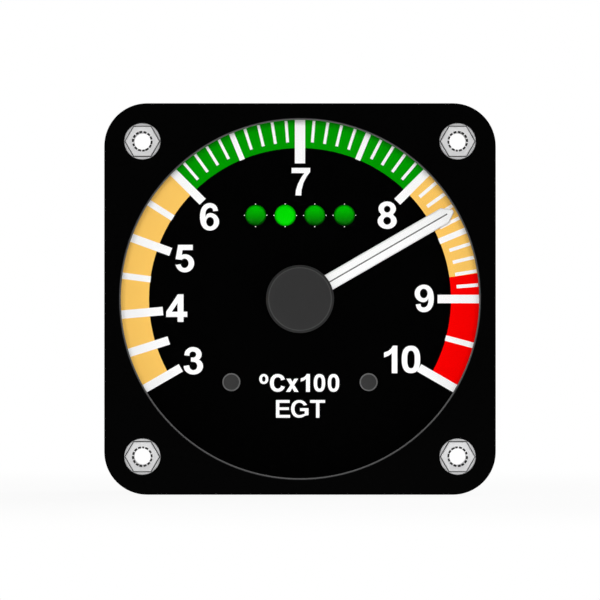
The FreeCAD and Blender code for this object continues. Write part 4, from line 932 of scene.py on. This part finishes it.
# Gold flash over nickel: warm bright pins.
gold = finish("gold_plated_pins", "e3bd62", "cfa64c", 0.1, 0.002, 0.25, Metallic=1.0)
dress(gold, "header_pins", "motor_pins", "connector_contacts")
dress(zinc_steel, "board_screws", "motor_screws")


# Rear cover
# The cover is moulded in black ABS with a fine spark-eroded texture. Its spigot fits the tube
# with a rubber seal.

# Textured black ABS: an even grain of darker and paler specks, drawn coarser than it is so that
# it shows.
cover_plastic = finish("textured_black_abs", "070708", "4a4a4e", 0.07, 0.03, 0.5,
                       Specular_IOR_Level=0.15)
dress(cover_plastic, "rear_cover")


# Cover screws
# Four countersunk cross-head screws of zinc-plated steel go into the pillars behind the cover,
# and four smaller ones through the case tube into its spigot.

PILLAR = 15.6
COVER_HEAD = 2.28
COVER_SHANK = 1.2
COVER_CONE = 1.2
COVER_CROSS = 0.32
SIDE_HEAD = 1.48
SIDE_SHANK = 0.8
SIDE_CONE = 0.7
SIDE_CROSS = 0.22
SIDE_PLACE = 42.4
SIDE_OUT = 28.35
SIDE_TIP = 25.8
HEAD_EDGE = 0.05
ARM = 4.2
RECESS_TAPER = 0.7
RECESS_DEPTH = 2.2
RECESS_POINT = 2.6


def cross_head(radius, cone, shank, tip, top, slot_half):
    """Countersunk screw with a cross recess, whose sizes are multiples of the slot's half width."""
    def cross(turn):
        near = abs((turn + math.pi / 4) % (math.pi / 2) - math.pi / 4)
        at_end = math.tan(near) < 1 / ARM
        return ARM * slot_half / math.cos(near) if at_end else slot_half / math.sin(near)

    return lathe([
        (0.0, tip), (shank, tip), (shank, top - cone), (radius, top - HEAD_EDGE),
        (radius - HEAD_EDGE, top), (cross, top),
        (lambda turn: cross(turn) * RECESS_TAPER, top - slot_half * RECESS_DEPTH),
        (0.0, top - slot_half * RECESS_POINT),
    ])


def moved(shape, change):
    """The shape with each vertex passed through a function."""
    vertices, faces = shape
    return [change(*vertex) for vertex in vertices], faces


def shade_recess(screws, place, slot_half):
    """Paint shade into the recess; place gives how far a face is from the screw's axis and below
    its top.
    """
    screws.data.materials.append(painted_shade_steel)
    for polygon in screws.data.polygons:
        across, below = place(*(polygon.center / MM))
        in_recess = across < ARM * slot_half and HEAD_EDGE / 2 < below < RECESS_POINT * slot_half
        polygon.material_index = int(in_recess)


cover_tip, cover_top = (corner.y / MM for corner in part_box("cover_screws"))
screw = cross_head(COVER_HEAD, COVER_CONE, COVER_SHANK, cover_tip, cover_top, COVER_CROSS)
cover_screws = piece("cross_head_cover_screws", joined(*[
    moved(screw, lambda x, y, z, right=right, up=up: (x + right, y, z + up))
    for right in (-PILLAR, PILLAR) for up in (-PILLAR, PILLAR)
]), zinc_steel, "instrument")
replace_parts(cover_screws, "cover_screws")
# Painted shade in the cross recesses of the cover screws, and below of the side screws.
shade_recess(cover_screws, lambda x, y, z: (
    math.hypot(abs(x) - PILLAR, abs(z) - PILLAR), cover_top - y,
), COVER_CROSS)

screw = cross_head(SIDE_HEAD, SIDE_CONE, SIDE_SHANK, SIDE_TIP, SIDE_OUT, SIDE_CROSS)
side_screws = piece("cross_head_side_screws", joined(*[
    moved(screw, lambda x, y, z, turn=turn: (
        y * math.sin(turn) + x * math.cos(turn),
        SIDE_PLACE + z,
        y * math.cos(turn) - x * math.sin(turn),
    ))
    for turn in (0.0, math.pi / 2, math.pi, 3 * math.pi / 2)
]), zinc_steel, "instrument")
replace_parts(side_screws, "cover_side_screws")
shade_recess(side_screws, lambda x, y, z: (
    math.hypot(min(abs(x), abs(z)), y - SIDE_PLACE), SIDE_OUT - max(abs(x), abs(z)),
), SIDE_CROSS)


# Rear connector
# A fifteen-way socket in a drawn steel shell, tinned, with a black insulator and gold-plated
# contacts. Two hexagonal jack screws take the plug's locking screws.

# Tinned steel: soft bright grey, with a faint spangle.
tinned = finish("tinned_steel_shell", "c9cacb", "b9babc", 0.3, 0.004, 0.32, Metallic=1.0)
dress(tinned, "connector_shell")

# Glass-filled polyester: black, slightly glossy.
insulator = finish("black_polyester_insulator", "111112", "1a1a1b", 0.3, 0.006, 0.4)
dress(insulator, "connector_insulator")

JACK = 16.65
JACK_HALF_ACROSS = 2.375
JACK_STUD = 1.4
JACK_BORE = 1.15
JACK_MAJOR = 1.38
JACK_PITCH = 0.635
JACK_CHAMFER = 0.25
PLATE_BACK = 46.8
BORE_BOTTOM = 0.8

jack_front, jack_back = (corner.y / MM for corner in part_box("connector_jackscrews"))
jack_threads = threads(
    PLATE_BACK + BORE_BOTTOM, jack_back - JACK_CHAMFER, JACK_BORE, JACK_MAJOR, JACK_PITCH,
)
jack = [
    (0.0, jack_front),
    (JACK_STUD, jack_front),
    (JACK_STUD, PLATE_BACK),
    (JACK_HALF_ACROSS, PLATE_BACK),
    (hexagon(JACK_HALF_ACROSS), PLATE_BACK + JACK_CHAMFER),
    (hexagon(JACK_HALF_ACROSS), jack_back - JACK_CHAMFER),
    (JACK_HALF_ACROSS, jack_back),
    (JACK_STUD, jack_back),
    *reversed(jack_threads),
    (0.0, PLATE_BACK + BORE_BOTTOM),
]
jacks = piece(
    "hexagonal_jack_screws",
    joined(*[lathe(jack, x, 0.0, steps=INSERT_STEPS) for x in (-JACK, JACK)]),
    zinc_steel, "instrument",
)
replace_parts(jacks, "connector_jackscrews")


# Camera
# A long lens square in front of the dial, a metre and a half away, as in a catalogue picture
# of an instrument. The frame is 89.7 mm wide at the flange's face.

CAMERA_DISTANCE = 1.4943
CAMERA_LENS = 600.0
CAMERA_HEIGHT = -0.00015

camera_lens = bpy.data.cameras.new("camera_lens")
camera_lens.lens = CAMERA_LENS
camera_lens.sensor_width = 36.0
camera = bpy.data.objects.new("camera", camera_lens)
camera.location = (0.0, -CAMERA_DISTANCE, CAMERA_HEIGHT)
camera.rotation_euler = (math.radians(90), 0.0, 0.0)
scene.collection.objects.link(camera)
scene.camera = camera
scene.view_settings.view_transform = "Standard"


# Room
# A white room: what the camera, mirrors and glass see of it is plain white, and it lights the
# object a fifth as much, because the lamps do the rest. The floor is white card that keeps the
# gauge's soft shadow, and it goes over into the white of the room a hand's breadth away.

ROOM_LIGHT = 0.2
FLOOR_WIDTH = 6.0
FLOOR_GLOW = 0.93
FADE_START = 0.07
FADE_END = 0.25
CARD_FIBRE = 1.0
CARD_RELIEF = 0.02


def seen_directly(tree):
    """One for what the camera, mirrors and glass see, nought for light that falls on things."""
    rays = add(tree, "ShaderNodeLightPath").outputs
    in_air = {0: rays["Is Camera Ray"], 1: rays["Is Glossy Ray"]}
    seen = {
        0: add(tree, "ShaderNodeMath", in_air, operation="MAXIMUM").outputs[0],
        1: rays["Is Transmission Ray"],
    }
    return add(tree, "ShaderNodeMath", seen, operation="MAXIMUM").outputs[0]


room = bpy.data.worlds.new("white_room")
scene.world = room
tree = empty_tree(room)
level = add(tree, "ShaderNodeMapRange", {
    "Value": seen_directly(tree), "To Min": ROOM_LIGHT, "To Max": 1.0,
})
walls = add(tree, "ShaderNodeBackground", {"Color": colour("ffffff"), "Strength": level.outputs[0]})
add(tree, "ShaderNodeOutputWorld", {"Surface": walls.outputs[0]})

white_card = bpy.data.materials.new("matt_white_card")
tree = empty_tree(white_card)
place = add(tree, "ShaderNodeTexCoord").outputs["Object"]
fibre = add(tree, "ShaderNodeTexNoise", {
    "Vector": place, "Scale": 1 / (CARD_FIBRE * MM), "Detail": 3.0,
})
relief = add(tree, "ShaderNodeBump", {
    "Height": fibre.outputs["Fac"], "Distance": CARD_RELIEF * MM,
})
paper = add(tree, "ShaderNodeBsdfDiffuse", {"Color": colour("f4f4f2"), "Normal": relief.outputs[0]})
glow = add(tree, "ShaderNodeEmission", {"Color": colour("ffffff"), "Strength": 1.0})
reach = add(tree, "ShaderNodeVectorMath", {0: place}, operation="LENGTH")
fade = add(tree, "ShaderNodeMapRange", {
    "Value": reach.outputs["Value"], "From Min": FADE_START, "From Max": FADE_END,
    "To Min": FLOOR_GLOW,
}, interpolation_type="SMOOTHSTEP")
seen_and_far = {0: seen_directly(tree), 1: fade.outputs[0]}
share = add(tree, "ShaderNodeMath", seen_and_far, operation="MULTIPLY").outputs[0]
surface = add(tree, "ShaderNodeMixShader", {"Fac": share, 1: paper.outputs[0], 2: glow.outputs[0]})
add(tree, "ShaderNodeOutputMaterial", {"Surface": surface.outputs[0]})


def sheet(name, corners, material):
    """Flat sheet of the studio, which isn't part of the object."""
    mesh = bpy.data.meshes.new(name)
    mesh.from_pydata(corners, [], [(0, 1, 2, 3)])
    mesh.materials.append(material)
    one = bpy.data.objects.new(name, mesh)
    scene.collection.objects.link(one)
    return one


floor_height = cad_box[0][2]
far = FLOOR_WIDTH / 2
sheet("floor", [(-far, -far, floor_height), (far, -far, floor_height), (far, far, floor_height),
                (-far, far, floor_height)], white_card)


# Black flag and lamps
# A black flag in front of the gauge keeps the room out of the glass. Only reflections and the
# glass see it. Soft lamps stand to the left, to the right and behind, and a smaller one in line
# with the dial, so that the lip hardly shades the print.

FLAG_DISTANCE = 0.1
FLAG_HALF = 0.18
VELVET_PILE = 1.0

black_velvet = bpy.data.materials.new("black_velvet_flag")
tree = empty_tree(black_velvet)
place = add(tree, "ShaderNodeTexCoord").outputs["Object"]
pile = add(tree, "ShaderNodeTexNoise", {
    "Vector": place, "Scale": 1 / (VELVET_PILE * MM), "Detail": 2.0,
})
tone = add(tree, "ShaderNodeMapRange", {
    "Value": pile.outputs["Fac"], "To Min": 0.001, "To Max": 0.004,
})
velvet = add(tree, "ShaderNodeBsdfDiffuse", {"Color": tone.outputs[0]})
add(tree, "ShaderNodeOutputMaterial", {"Surface": velvet.outputs[0]})
flag = sheet("black_flag", [
    (-FLAG_HALF, -FLAG_DISTANCE, -FLAG_HALF), (FLAG_HALF, -FLAG_DISTANCE, -FLAG_HALF),
    (FLAG_HALF, -FLAG_DISTANCE, FLAG_HALF), (-FLAG_HALF, -FLAG_DISTANCE, FLAG_HALF),
], black_velvet)
flag.visible_camera = False
flag.visible_diffuse = False
flag.visible_shadow = False

for name, place, size, power in (
    ("lamp_left", (-0.45, -0.85, 0.2), 0.5, 1.3),
    ("lamp_right", (0.45, -0.85, 0.2), 0.5, 1.3),
    ("lamp_front", (0.0, -1.2, 0.02), 0.25, 15.6),
    ("lamp_behind", (0.3, 0.7, 0.6), 0.5, 5.0),
):
    softbox = bpy.data.lights.new(name, "AREA")
    softbox.size = size
    softbox.energy = power
    stand = bpy.data.objects.new(name, softbox)
    stand.location = place
    stand.rotation_euler = (-stand.location).to_track_quat("-Z", "Y").to_euler()
    stand.visible_glossy = name != "lamp_front"
    stand.visible_transmission = name != "lamp_front"
    scene.collection.objects.link(stand)
